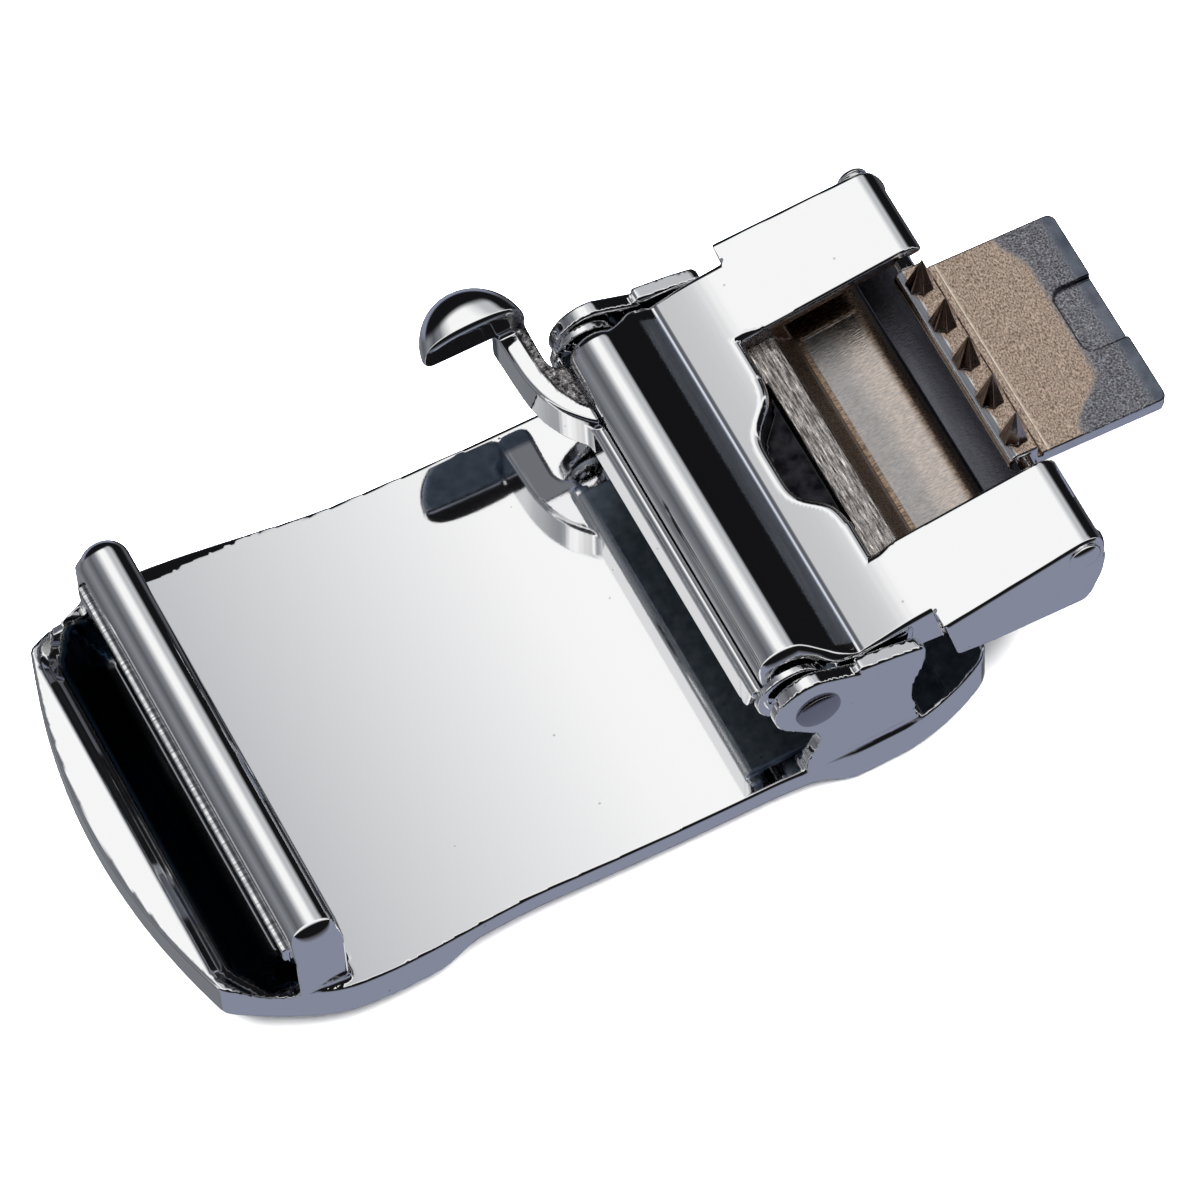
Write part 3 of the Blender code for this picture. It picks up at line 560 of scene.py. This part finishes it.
CLAMP_TILT = math.radians(8.0)
CLAMP_TO_FRAME = hinge_place @ Matrix.Rotation(-CLAMP_TILT, 4, "Y")
WEB_TOP = 1.95
WEB_SLOPE = 0.14
WEB_LEVEL_FROM = 8.9
ARM_START = 11.1
ARM_END = 25.2
ARM_HALF_WIDTH = 19.05
ARM_END_HALF_WIDTH = 18.35
SIDE_WALL = 1.3
TOP_WALL = 1.3


def web_height(x):
    """Top of the web, falling gently towards the groove behind the nose."""
    before = WEB_LEVEL_FROM - x
    return WEB_TOP - WEB_SLOPE * 0.5 * (math.hypot(before, 1.1) + before)


NOSE_SECTION = arc((-0.65, 2.5), 2.3, 52.0, 235.0, 60)
NOSE_UNDERSIDE = [(-1.95, -0.4), (-1.4, -1.5), (-0.4, -1.95), (7.6, -2.0), (12.1, -3.2)]
NOSE_SECTION += softened(NOSE_UNDERSIDE, 0.4, 4)
NOSE_SECTION += [(x, web_height(x)) for x in np.linspace(14.0, 5.15, 30)]
NOSE_SECTION += arc((4.85, 1.66), 0.36, -78.0, -128.0, 6)

ARM_SECTION = [
    (ARM_START, -3.2),
    (14.4, -4.6),
    (22.3, -6.95),
    (23.1, -6.4),
    (24.3, -4.2),
    (25.1, -1.9),
]
ARM_END_RADIUS = 2.2
ARM_SECTION = [(ARM_START, WEB_TOP)] + softened(ARM_SECTION, 0.4, 4)[4:]
ARM_END_CENTRE = (ARM_END - ARM_END_RADIUS, WEB_TOP - ARM_END_RADIUS)
ARM_SECTION += arc(ARM_END_CENTRE, ARM_END_RADIUS, -10.0, 90.0, 20)

CAVITY_SECTION = [(13.3, -3.0)] + arc((18.0, -4.5), 1.5, 90.0, 10.0, 12)
CAVITY_SECTION += [(19.8, -5.2), (27.2, -5.2), (27.2, WEB_TOP - TOP_WALL), (12.9, WEB_TOP - TOP_WALL)]


def arm_half_width(x):
    """Half width over the arms, drawn in towards the lid."""
    share = np.clip((x - ARM_START) / (ARM_END - ARM_START), 0.0, 1.0)
    return ARM_HALF_WIDTH + (ARM_END_HALF_WIDTH - ARM_HALF_WIDTH) * share


WINDOW_LEFT = 9.35
SHELF_TOP = 0.1
SHELF_EDGE = (11.7, -0.04)
SHELF_FALL = 1.35
SHELF_SLOPE = 0.06
WINDOW_HALF_WIDTH = 10.4
CLAMP_FLOOR = -2.98
NOTCH_HALF_WIDTH = 4.65
NOTCH_FLOOR = -1.0
NOTCH_DEPTH = 2.7
NOTCH_PLAN = [(WINDOW_LEFT + 0.1, 1.5 * NOTCH_HALF_WIDTH), (WINDOW_LEFT + 0.1, -1.5 * NOTCH_HALF_WIDTH)]
for reach in np.linspace(-1.5, 1.5, 41):
    bell = 1.0 / (1.0 + (1.12 * abs(reach)) ** 6)
    NOTCH_PLAN.append((WINDOW_LEFT - NOTCH_DEPTH * bell, reach * NOTCH_HALF_WIDTH))


def clamp_hollows(x, y, z):
    """The strap's pocket, the window above it with its sloping shelf, and the thumb notch."""
    across = np.abs(y)
    cavity = np.maximum(outline_distance(CAVITY_SECTION, x, z), across - arm_half_width(x) + SIDE_WALL)
    shelf = SHELF_TOP - SHELF_SLOPE * (x - WINDOW_LEFT) - z
    fall = (SHELF_EDGE[1] - SHELF_FALL * (x - SHELF_EDGE[0]) - z) / math.hypot(1.0, SHELF_FALL)
    window = np.maximum(np.minimum(shelf, fall), CLAMP_FLOOR - z)
    window = np.maximum(window, np.maximum(WINDOW_LEFT - x, across - WINDOW_HALF_WIDTH))
    notch = np.maximum(outline_distance(NOTCH_PLAN, x, y), NOTCH_FLOOR - z)
    return cavity, window, notch


NOSE_HALF_WIDTH = 16.1
FLANGE_INNER_Y = 16.5
FLANGE_OUTER_Y = 17.2
FLANGE_CENTRE = (-1.2, 1.2)
FLANGE_RADIUS = 2.85


def clamp_body(x, y, z):
    """The whole clamp casting."""
    across = np.abs(y)
    nose = outline_distance(NOSE_SECTION, x, z)
    width = NOSE_HALF_WIDTH + 1.1 * smooth_step(x, 0.6, 3.2)
    nose = rounded_overlap(nose, across - width, 0.4 + 0.7 * smooth_step(z, 1.5, 3.0))
    flange = np.hypot(x - FLANGE_CENTRE[0], z - FLANGE_CENTRE[1]) - FLANGE_RADIUS
    flange = rounded_overlap(flange, across - FLANGE_OUTER_Y, 0.2)
    flange = np.maximum(flange, FLANGE_INNER_Y - across)
    nose = filleted(nose, flange, 0.15)
    outside = arm_half_width(x)
    free_end = rounded_overlap(across - outside, x - ARM_END - 0.4, 1.3)
    arms = rounded_overlap(outline_distance(ARM_SECTION, x, z), free_end, 0.45)
    body = filleted(nose, arms, 0.001 + 0.35 * smooth_step(across, 16.8, 17.4))
    cavity, window, notch = clamp_hollows(x, y, z)
    body = rounded_cut(body, cavity, 0.2)
    return rounded_cut(body, np.minimum(window, notch), 0.25 + 0.6 * smooth_step(-x, -11.5, -9.5))


def raw_inside(x, y, z):
    """1 on the unplated metal inside the window and the strap's pocket."""
    cavity, window, notch = clamp_hollows(x, y, z)
    near = smooth_step(-np.minimum(cavity, window), -0.16, 0.0)
    return near * smooth_step(-z, -1.5, -1.25)


def milled_shelf(x, y, z):
    """1 on the milled shelf at the window's left edge."""
    return raw_inside(x, y, z) * smooth_step(z, -0.6, -0.3) * smooth_step(-x, -12.0, -11.6)


def notch_painted_shade(x, y, z):
    """1 in the thumb notch below its rounded rim, painted near-black as the shade in its depth."""
    inside = smooth_step(-outline_distance(NOTCH_PLAN, x, y), -0.1, 0.05)
    return inside * smooth_step(-z, -0.9, -0.6) * smooth_step(z, -1.7, -1.4)


def underside(x, y, z):
    """1 on the rough unpolished metal under the nose and web, whose dim blue-grey is painted shade and
    reflection.
    """
    low = smooth_step(-z, 1.3, 1.8) * smooth_step(-x, -17.0, -15.0)
    return low * smooth_step(-np.abs(y), -17.1, -16.8) * (1.0 - raw_inside(x, y, z))


def groove(x, y, z):
    """1 in the groove between nose and web, which polishing doesn't reach, left rough and tinted pale
    blue as a painted reflection.
    """
    along = smooth_step(x, 3.15, 3.45) * smooth_step(-x, -4.95, -4.75)
    return along * smooth_step(z, 0.8, 1.0) * smooth_step(-np.abs(y), -16.2, -15.8)


def mouth_floor_shade(x, y, z):
    """1 on the deeper floor at the pocket's mouth, painted dark slate as the shade under the lid."""
    return raw_inside(x, y, z) * smooth_step(-z, 4.2, 4.7)


CLAMP_CHROME = make_metal("clamp_chrome", *CHROME)
# Rough unpolished metal whose dim blue-grey colour is painted shade and reflection.
SHADE_AND_REFLECTION_TINT = ((0.20, 0.25, 0.30), (0.30, 0.36, 0.42), 0.5, (1.0, 1.0, 1.0), 0.0)
CLAMP_FINISHES = {
    "raw_inside": ((0.15, 0.10, 0.066), (0.56, 0.41, 0.30), 0.38, (2.0, 9.0, 9.0), 0.000012),
    "milled_shelf": ((0.11, 0.095, 0.085), (1.0, 0.93, 0.88), 0.22, (7.0, 0.8, 7.0), 0.00005),
    # Dark slate painted as the shade under the lid on the pocket's mouth floor.
    "mouth_floor_shade": ((0.14, 0.14, 0.165), (0.19, 0.19, 0.22), 0.35, (1.0, 0.1, 1.0), 0.0),
    "underside": SHADE_AND_REFLECTION_TINT,
    # Pale blue tint painted as the reflection in the groove behind the nose.
    "groove": ((0.60, 0.66, 0.78), (0.80, 0.86, 0.98), 0.30, (2.0, 0.1, 2.0), 0.0),
    # Near-black painted as the shade deep in the thumb notch.
    "notch_painted_shade": ((0.006, 0.006, 0.008), (0.03, 0.03, 0.035), 0.3, (1.0, 1.0, 1.0), 0.0),
}
for label, look in CLAMP_FINISHES.items():
    add_region(CLAMP_CHROME, label, *look)

clamp = skin_casting(
    "clamp_casting",
    clamp_body,
    (-5.0, -20.05, -7.83),
    (26.2, 20.0, 5.6),
    (0.22, 0.24, 0.2),
    CLAMP_TO_FRAME,
    CLAMP_CHROME,
    {
        "raw_inside": raw_inside,
        "milled_shelf": milled_shelf,
        "mouth_floor_shade": mouth_floor_shade,
        "notch_painted_shade": notch_painted_shade,
        "underside": underside,
        "groove": groove,
    },
)
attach(clamp, "clamp")
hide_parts("clamp_body")


# Release lever
# A chromed casting that turns in the nose: pivot rod, pawl strip below it, and a curved
# arm that carries a half-mushroom knob beside the buckle.

PIVOT = (-3.38, 1.08)
pivot_place = CLAMP_TO_FRAME @ Matrix.Translation((PIVOT[0], 0.0, PIVOT[1]))
LEVER_TO_FRAME = pivot_place @ Matrix.Rotation(CLAMP_TILT, 4, "Y")
STRIP_HALF_WIDTH = 0.55
PAWL_SECTION = [(-0.45, -0.2), (-0.45, -3.6), (-0.05, -4.0), (5.45, -4.0), (6.85, -4.8)]
PAWL_SECTION += [(7.05, -4.8), (7.05, -3.1), (1.15, -3.1), (0.65, -2.6), (0.55, -0.2)]
ARM_INNER_EDGE = [(0.2, 9.9), (-0.5, 10.3), (-2.0, 12.1), (-2.9, 14.0)]
ARM_INNER_EDGE += [(-3.35, 16.2), (-3.45, 18.8), (-3.6, 21.9)]
ARM_PLAN = ARM_INNER_EDGE + [(-1.0, 21.9), (-1.1, 17.6), (-1.05, 16.7), (-0.7, 16.1), (0.2, 15.8)]
ARM_PLAN = softened(ARM_PLAN, 0.9, 5)
ARM_BOTTOM = -3.1
ARM_TOP = 1.2
KNOB_CENTRE = (-5.25, 20.3, 1.0)
KNOB_RADII = (4.4, 4.7, 3.4)
KNOB_FULLNESS = 2.7
SUNK_DEPTH = 0.3


def knob(x, y, z):
    """Half of a low dome, flat towards the buckle and underneath."""
    along = (x - KNOB_CENTRE[0]) / KNOB_RADII[0]
    out = (y - KNOB_CENTRE[1]) / KNOB_RADII[1]
    up = (z - KNOB_CENTRE[2]) / KNOB_RADII[2]
    plan = np.hypot(along, out)
    reach = (plan ** KNOB_FULLNESS + np.abs(up) ** KNOB_FULLNESS) ** (1.0 / KNOB_FULLNESS)
    dome = (reach - 1.0) * min(KNOB_RADII)
    dome = rounded_overlap(dome, KNOB_CENTRE[1] - y, 0.6)
    return rounded_overlap(dome, KNOB_CENTRE[2] - z, 0.5)


def unpolished_arm(x, y, z):
    """1 on the arm's top away from its inner rim, which alone is polished."""
    edge_x, edge_y = zip(*ARM_INNER_EDGE)
    edge = np.interp(y, edge_y, edge_x)
    along = smooth_step(y, 10.4, 11.6) * smooth_step(-y, -21.0, -20.2)
    return smooth_step(x - edge, 1.3, 1.7) * along * smooth_step(z, 0.4, 0.7)


def pawl_faces(x, y, z):
    """1 on the rough unpolished pawl right of the strip and under the knob, whose dim blue-grey is
    painted shade and reflection.
    """
    pawl = smooth_step(-z, 2.2, 2.8) * smooth_step(x, -0.4, 0.0) * smooth_step(-np.abs(y), -15.8, -15.4)
    return pawl + smooth_step(-z, -1.15, -1.05) * smooth_step(y, 20.1, 20.6)


def release_lever(x, y, z):
    """The whole lever casting."""
    across = np.abs(y)
    rod = rounded_overlap(np.hypot(x, z) - STRIP_HALF_WIDTH, across - 16.0, 0.3)
    stub = np.maximum(np.hypot(x, z) - 0.3, across - 16.9)
    pawl = rounded_overlap(outline_distance(PAWL_SECTION, x, z), across - 14.0, 0.25)
    wall = np.maximum(np.abs(x) - STRIP_HALF_WIDTH, np.maximum(z, -3.4 - z))
    wall = rounded_overlap(wall, across - 15.6 - 0.25 * z, 0.3)
    body = filleted(np.minimum(rod, wall), pawl, 0.2)
    sunk = SUNK_DEPTH * unpolished_arm(x, y, z)
    level = np.maximum(z + sunk - ARM_TOP, ARM_BOTTOM - z)
    arm = rounded_overlap(outline_distance(ARM_PLAN, x, y), level, 0.35)
    body = filleted(np.minimum(body, stub), arm, 0.4)
    return filleted(body, knob(x, y, z), 0.5)


LEVER_CHROME = make_metal("lever_chrome", *CHROME)
CAST_SKIN = ((0.03, 0.027, 0.027), (0.70, 0.67, 0.67), 0.16, (3.2, 3.2, 3.2), 0.00007)
add_region(LEVER_CHROME, "unpolished_arm", *CAST_SKIN)
# Dim blue-grey painted as shade and reflection on the pawl and under the knob.
add_region(LEVER_CHROME, "underside", *SHADE_AND_REFLECTION_TINT)

lever = skin_casting(
    "lever_casting",
    release_lever,
    (-10.4, -17.6, -5.43),
    (7.8, 25.8, 5.0),
    (0.2, 0.22, 0.2),
    LEVER_TO_FRAME,
    LEVER_CHROME,
    {"unpolished_arm": unpolished_arm, "underside": pawl_faces},
)
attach(lever, "lever")
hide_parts("release_lever")


# Lid pin
# A thin steel pin across the arms' free ends, chromed with them, its heads domed.

LID_PIN = (23.15, 0.6)
PIN_CHROME = make_metal("pin_chrome", *CHROME)
lid_pin_place = CLAMP_TO_FRAME @ Matrix.Translation((LID_PIN[0], 0.0, LID_PIN[1]))
lid_pin = turned_pin("lid_hinge_pin", rivet_profile(0.7, 1.3, 0.7, 18.52), lid_pin_place, PIN_CHROME)
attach(lid_pin, "clamp")
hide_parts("lid_pin")


# Lid
# A thinly plated casting, so its raw metal shows brown: a knuckle round the lid pin, a
# thin plate with a finger recess, and five fluted spikes that bite into the strap.

LID_DROOP = math.radians(11.0)
LID_TO_FRAME = lid_pin_place @ Matrix.Rotation(LID_DROOP, 4, "Y")
SATIN_BRONZE = make_metal("satin_bronze", (0.56, 0.47, 0.42), 0.34, 0.00015, 0.000004, 0.00002)
LID_LENGTH = 12.4
LID_SECTION = arc((0.0, 0.0), 1.45, 140.0, 270.0, 24)
LID_SECTION += [(LID_LENGTH - 0.4, -1.6), (LID_LENGTH, -1.25), (LID_LENGTH, -0.1), (1.5, -0.1)]
LID_SECTION += [(1.4, -0.5), (1.15, -0.45), (1.1, 1.0), (1.0, 1.1), (-0.8, 1.1)]
LID_HALF_WIDTH = 9.3
LID_CORNER_RADIUS = 0.8
RECESS_LEFT = 8.75
RECESS_HALF_WIDTH = 3.0
RECESS_FLOOR = -0.6
RIDGE_HALF_WIDTH = 0.07
RIDGE_HALF_HEIGHT = 0.05
SPIKE_PITCH = 3.75
SCORE_X = 2.05
LID_FINISHES = {
    "raw_metal": ((0.19, 0.135, 0.098), (0.86, 0.68, 0.55), 0.34, (10.0, 5.0, 8.0), 0.00001),
    # Dark slate painted as the reflection in the lid's plated end.
    "plated_end": ((0.09, 0.105, 0.135), (0.17, 0.19, 0.23), 0.10, (0.6, 0.6, 0.6), 0.0),
    # Dark-to-light mottle painted as the reflection in the thin rippled plating.
    "rippled_plating": ((0.09, 0.088, 0.10), (0.46, 0.46, 0.50), 0.16, (6.0, 6.0, 6.0), 0.00003),
    "plated_rim": ((0.86, 0.865, 0.88), (0.94, 0.945, 0.96), 0.06, (1.0, 1.0, 1.0), 0.0),
    "score_line": ((0.85, 0.70, 0.56), (0.95, 0.82, 0.70), 0.25, (1.0, 1.0, 1.0), 0.0),
}
for label, look in LID_FINISHES.items():
    add_region(SATIN_BRONZE, label, *look)


def lid_body(x, y, z):
    """Knuckle, plate and finger recess."""
    across = np.abs(y)
    plan = rounded_overlap(across - LID_HALF_WIDTH, x - LID_LENGTH, LID_CORNER_RADIUS)
    body = rounded_overlap(outline_distance(LID_SECTION, x, z), plan, 0.22)
    recess = rounded_overlap(RECESS_LEFT - x, across - RECESS_HALF_WIDTH, 1.0)
    recess = np.maximum(recess, RECESS_FLOOR - z)
    body = rounded_cut(body, recess, 0.22)
    ridge = np.maximum(np.abs(x - SCORE_X) - RIDGE_HALF_WIDTH, np.abs(z + 0.1) - RIDGE_HALF_HEIGHT)
    ridge = np.maximum(ridge, across - LID_HALF_WIDTH)
    return filleted(body, ridge, 0.05)


def plating_edge(y):
    """Where the plating starts across the lid, reaching further in at both sides."""
    return 8.7 - 3.4 * smooth_step(-y, 4.5, 8.7) - 1.3 * smooth_step(y, 5.5, 9.0)


def plated_end(x, y, z):
    """1 towards the lid's free end, where the plating covers the raw metal; its dark slate colour is a
    painted reflection.
    """
    return smooth_step(x - plating_edge(y), -0.5, 0.5) * smooth_step(z, -0.9, -0.7)


def plated_rim(x, y, z):
    """1 on the lid's outer edges, its underside and the knuckle's left side."""
    rim = np.maximum(np.maximum(np.abs(y) - LID_HALF_WIDTH, x - LID_LENGTH), -0.75 - z)
    scallop = -0.92 - 0.2 * np.cos(2.0 * math.pi * y / SPIKE_PITCH)
    knuckle = smooth_step(scallop - x, -0.1, 0.05)
    return np.maximum(smooth_step(rim, -0.16, -0.06), knuckle)


def raw_metal(x, y, z):
    """1 where no plating covers the metal."""
    return (1.0 - plated_rim(x, y, z)) * (1.0 - plated_end(x, y, z))


def rippled_plating(x, y, z):
    """1 where the plating starts, thin and uneven; its dark-to-light mottle is painted reflection over
    real relief.
    """
    inward = smooth_step(-x, -11.7, -10.6) * smooth_step(z, -0.8, -0.6)
    return smooth_step(x - plating_edge(y), -0.7, 0.3) * inward


def score_line(x, y, z):
    """1 on the bright ridge beside the knuckle."""
    return smooth_step(-np.abs(x - SCORE_X), -0.16, -0.06) * smooth_step(z, -0.4, -0.2)


lid = skin_casting(
    "lid_casting",
    lid_body,
    (-2.4, -10.13, -2.43),
    (13.4, 10.2, 2.0),
    (0.11, 0.18, 0.12),
    LID_TO_FRAME,
    SATIN_BRONZE,
    {
        "raw_metal": raw_metal,
        "plated_end": plated_end,
        "rippled_plating": rippled_plating,
        "plated_rim": plated_rim,
        "score_line": score_line,
    },
)
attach(lid, "lid")
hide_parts("lid")


# Spikes of the lid
# Five sharp cones with flutes cut down their sides, in a row on the knuckle.

SPIKE_COUNT = 5
SPIKE_RADIUS = 1.15
SPIKE_FLUTES = 7
FLUTE_DEPTH = 0.13
SPIKE_OUTLINE = [(-0.3, 1.0), (0.0, 1.0), (0.15, 0.97), (0.5, 0.87)]
SPIKE_OUTLINE += [(1.3, 0.64), (2.4, 0.33), (3.3, 0.08), (3.55, 0.01)]
KNUCKLE_TOP = (-0.1, 1.1)


def spike_mesh():
    """One fluted cone, standing on its own foot."""
    shape = bmesh.new()
    around = SPIKE_FLUTES * 8
    rings = []
    for rise, share in SPIKE_OUTLINE:
        ring = []
        for step in range(around):
            angle = 2.0 * math.pi * step / around
            flute = abs(math.sin(0.5 * SPIKE_FLUTES * angle))
            radius = SPIKE_RADIUS * share * (1.0 - FLUTE_DEPTH * flute)
            ring.append(shape.verts.new((radius * math.cos(angle), radius * math.sin(angle), rise)))
        rings.append(ring)
    for lower, upper in zip(rings, rings[1:]):
        for step in range(around):
            following = (step + 1) % around
            shape.faces.new((lower[step], lower[following], upper[following], upper[step]))
    shape.faces.new(reversed(rings[0]))
    shape.faces.new(rings[-1])
    mesh = bpy.data.meshes.new("spike")
    shape.to_mesh(mesh)
    shape.free()
    mesh.polygons.foreach_set("use_smooth", [True] * len(mesh.polygons))
    return mesh


def build_spike_row():
    """Geometry nodes that set one spike out along a line and make it real."""
    tree = bpy.data.node_groups.new("spike_row", "GeometryNodeTree")
    tree.interface.new_socket("Spike", in_out="INPUT", socket_type="NodeSocketObject")
    tree.interface.new_socket("Count", in_out="INPUT", socket_type="NodeSocketInt")
    tree.interface.new_socket("Pitch", in_out="INPUT", socket_type="NodeSocketFloat")
    tree.interface.new_socket("Finish", in_out="INPUT", socket_type="NodeSocketMaterial")
    tree.interface.new_socket("Geometry", in_out="OUTPUT", socket_type="NodeSocketGeometry")
    nodes, links = tree.nodes, tree.links
    given, result = nodes.new("NodeGroupInput"), nodes.new("NodeGroupOutput")
    line = nodes.new("GeometryNodeMeshLine")
    offset = nodes.new("ShaderNodeCombineXYZ")
    links.new(given.outputs["Pitch"], offset.inputs["Y"])
    links.new(given.outputs["Count"], line.inputs["Count"])
    links.new(offset.outputs[0], line.inputs["Offset"])
    info = nodes.new("GeometryNodeObjectInfo")
    links.new(given.outputs["Spike"], info.inputs["Object"])
    spread = nodes.new("GeometryNodeInstanceOnPoints")
    links.new(line.outputs["Mesh"], spread.inputs["Points"])
    links.new(info.outputs["Geometry"], spread.inputs["Instance"])
    real = nodes.new("GeometryNodeRealizeInstances")
    links.new(spread.outputs["Instances"], real.inputs["Geometry"])
    coat = nodes.new("GeometryNodeSetMaterial")
    links.new(real.outputs["Geometry"], coat.inputs["Geometry"])
    links.new(given.outputs["Finish"], coat.inputs["Material"])
    links.new(coat.outputs["Geometry"], result.inputs["Geometry"])
    return tree


def make_spikes():
    """The row of spikes as one plain mesh, in place on the lid."""
    pattern = bpy.data.objects.new("spike_pattern", spike_mesh())
    bpy.context.collection.objects.link(pattern)
    row = bpy.data.objects.new("spike_row", bpy.data.meshes.new("spike_row"))
    bpy.context.collection.objects.link(row)
    step = row.modifiers.new("spike_row", "NODES")
    step.node_group = build_spike_row()
    values = {"Spike": pattern, "Count": SPIKE_COUNT, "Pitch": SPIKE_PITCH, "Finish": SPIKE_STEEL}
    for item in step.node_group.interface.items_tree:
        if item.in_out == "INPUT":
            step[item.identifier] = values[item.name]
    evaluated = row.evaluated_get(bpy.context.evaluated_depsgraph_get())
    mesh = bpy.data.meshes.new_from_object(evaluated)
    mesh.name = "lid_spikes"
    first_y = -SPIKE_PITCH * (SPIKE_COUNT - 1) / 2.0
    first = Matrix.Translation((KNUCKLE_TOP[0], first_y, KNUCKLE_TOP[1]))
    mesh.transform(LID_TO_FRAME @ first)
    bpy.data.objects.remove(row, do_unlink=True)
    bpy.data.objects.remove(pattern, do_unlink=True)
    piece = bpy.data.objects.new("lid_spikes", mesh)
    bpy.context.collection.objects.link(piece)
    return piece


SPIKE_STEEL = make_metal("spike_plating", (0.55, 0.48, 0.45), 0.12, 0.0001, 0.000002, 0.000003)
spikes = make_spikes()
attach(spikes, "lid")


# Studio
# A white table under one wide soft light, and round it the light and dark surfaces that
# the chrome mirrors: a bright ceiling panel, grey walls and black gaps between them.

WHITE_PANEL = (0.95, 0.95, 0.95)
PALE_WALL = (0.50, 0.51, 0.53)
GREY_WALL = (0.22, 0.23, 0.25)
DIM_WALL = (0.10, 0.105, 0.12)
BLACK_GAP = (0.007, 0.007, 0.008)
LAVENDER_WALL = (0.23, 0.25, 0.33)
ROUND_THE_BACK = (
    (-180, GREY_WALL), (-125, DIM_WALL), (-85, GREY_WALL), (-55, DIM_WALL), (-30, GREY_WALL),
    (-5, WHITE_PANEL), (15, WHITE_PANEL), (30, PALE_WALL), (45, PALE_WALL), (60, BLACK_GAP),
    (95, BLACK_GAP), (115, DIM_WALL), (135, BLACK_GAP), (180, GREY_WALL),
)
ROUND_THE_FRONT = (
    (-180, LAVENDER_WALL), (-10, WHITE_PANEL), (5, WHITE_PANEL), (15, BLACK_GAP), (65, BLACK_GAP),
    (80, DIM_WALL), (100, LAVENDER_WALL), (180, LAVENDER_WALL),
)
UP_THE_FAR_SIDE = (
    (-180, LAVENDER_WALL), (-45, LAVENDER_WALL), (-15, BLACK_GAP), (120, BLACK_GAP), (135, WHITE_PANEL),
)


def build_world():
    """Environment by direction: bands round the buckle's long axis, dark towards the lens."""
    world = bpy.data.worlds.new("studio")
    bpy.context.scene.world = world
    world.use_nodes = True
    nodes, links = world.node_tree.nodes, world.node_tree.links
    direction = nodes.new("ShaderNodeSeparateXYZ")
    links.new(nodes.new("ShaderNodeTexCoord").outputs["Generated"], direction.inputs[0])

    def turn(first, second, flip):
        angle = nodes.new("ShaderNodeMath")
        angle.operation = "ARCTAN2"
        links.new(direction.outputs[first], angle.inputs[0])
        links.new(direction.outputs[second], angle.inputs[1])
        share = nodes.new("ShaderNodeMapRange")
        share.inputs["From Min"].default_value = math.pi if flip else -math.pi
        share.inputs["From Max"].default_value = -math.pi if flip else math.pi
        links.new(angle.outputs[0], share.inputs["Value"])
        return share.outputs[0]

    def ramp(share, stops):
        band = nodes.new("ShaderNodeValToRGB")
        links.new(share, band.inputs[0])
        while len(band.color_ramp.elements) > 1:
            band.color_ramp.elements.remove(band.color_ramp.elements[0])
        for index, (degrees, colour) in enumerate(stops):
            place = (degrees + 180.0) / 360.0
            if index == 0:
                point = band.color_ramp.elements[0]
                point.position = place
            else:
                point = band.color_ramp.elements.new(place)
            point.color = (*colour, 1.0)
        return band.outputs["Color"]

    back = ramp(turn("X", "Z", False), ROUND_THE_BACK)
    front = ramp(turn("Y", "Z", True), ROUND_THE_FRONT)
    towards_lens = nodes.new("ShaderNodeMapRange")
    towards_lens.interpolation_type = "SMOOTHSTEP"
    towards_lens.inputs["From Min"].default_value = 0.12
    towards_lens.inputs["From Max"].default_value = -0.02
    links.new(direction.outputs["Y"], towards_lens.inputs["Value"])
    height = nodes.new("ShaderNodeMapRange")
    height.inputs["From Min"].default_value = -1.0
    links.new(direction.outputs["Z"], height.inputs["Value"])
    behind = ramp(height.outputs[0], UP_THE_FAR_SIDE)
    far_side = nodes.new("ShaderNodeMapRange")
    far_side.interpolation_type = "SMOOTHSTEP"
    far_side.inputs["From Min"].default_value = 0.68
    far_side.inputs["From Max"].default_value = 0.82
    links.new(direction.outputs["Y"], far_side.inputs["Value"])

    def blend(share, first, second):
        mix = nodes.new("ShaderNodeMix")
        mix.data_type = "RGBA"
        links.new(share, mix.inputs[0])
        links.new(first, mix.inputs[6])
        links.new(second, mix.inputs[7])
        return mix.outputs[2]

    around = blend(far_side.outputs[0], back, behind)
    around = blend(towards_lens.outputs[0], around, front)
    links.new(around, nodes["Background"].inputs["Color"])


build_world()
bpy.context.scene.view_settings.view_transform = "Standard"

TABLE_HALF = 1.5
floor_mesh = bpy.data.meshes.new("table")
corners = [(x * TABLE_HALF, y * TABLE_HALF, 0.0) for x, y in ((-1, -1), (1, -1), (1, 1), (-1, 1))]
floor_mesh.from_pydata(corners, [], [(0, 1, 2, 3)])
table = bpy.data.objects.new("table", floor_mesh)
bpy.context.collection.objects.link(table)
white = bpy.data.materials.new("white_table")
white.use_nodes = True
paint = white.node_tree.nodes["Principled BSDF"]
paint.inputs["Base Color"].default_value = (0.9, 0.9, 0.9, 1.0)
paint.inputs["Roughness"].default_value = 0.9
paint.inputs["Specular IOR Level"].default_value = 0.0
floor_mesh.materials.append(white)
table.visible_glossy = False

softbox = bpy.data.lights.new("softbox", "AREA")
softbox.shape = "DISK"
softbox.size = 1.6
softbox.energy = 150.0
softbox_object = bpy.data.objects.new("softbox", softbox)
bpy.context.collection.objects.link(softbox_object)
softbox_object.location = (0.0, 0.1, 1.2)
softbox_object.visible_glossy = False


# Camera
# A long lens from the buckle's loop side, looking down at the back.

camera = bpy.data.cameras.new("camera")
camera.lens = 288.28
camera.sensor_width = 36.0
camera.shift_x = 0.01243
camera.shift_y = 0.02563
camera.clip_start = 0.01
viewpoint = bpy.data.objects.new("camera", camera)
bpy.context.collection.objects.link(viewpoint)
right = Vector((0.88834, -0.45781, -0.03559))
up = Vector((0.41922, 0.77695, 0.46968))
back = Vector((-0.18737, -0.43216, 0.88212))
facing = Matrix((right, up, back)).transposed().to_4x4()
viewpoint.matrix_world = Matrix.Translation((-0.139665, -0.320088, 0.652663)) @ facing
bpy.context.scene.camera = viewpoint
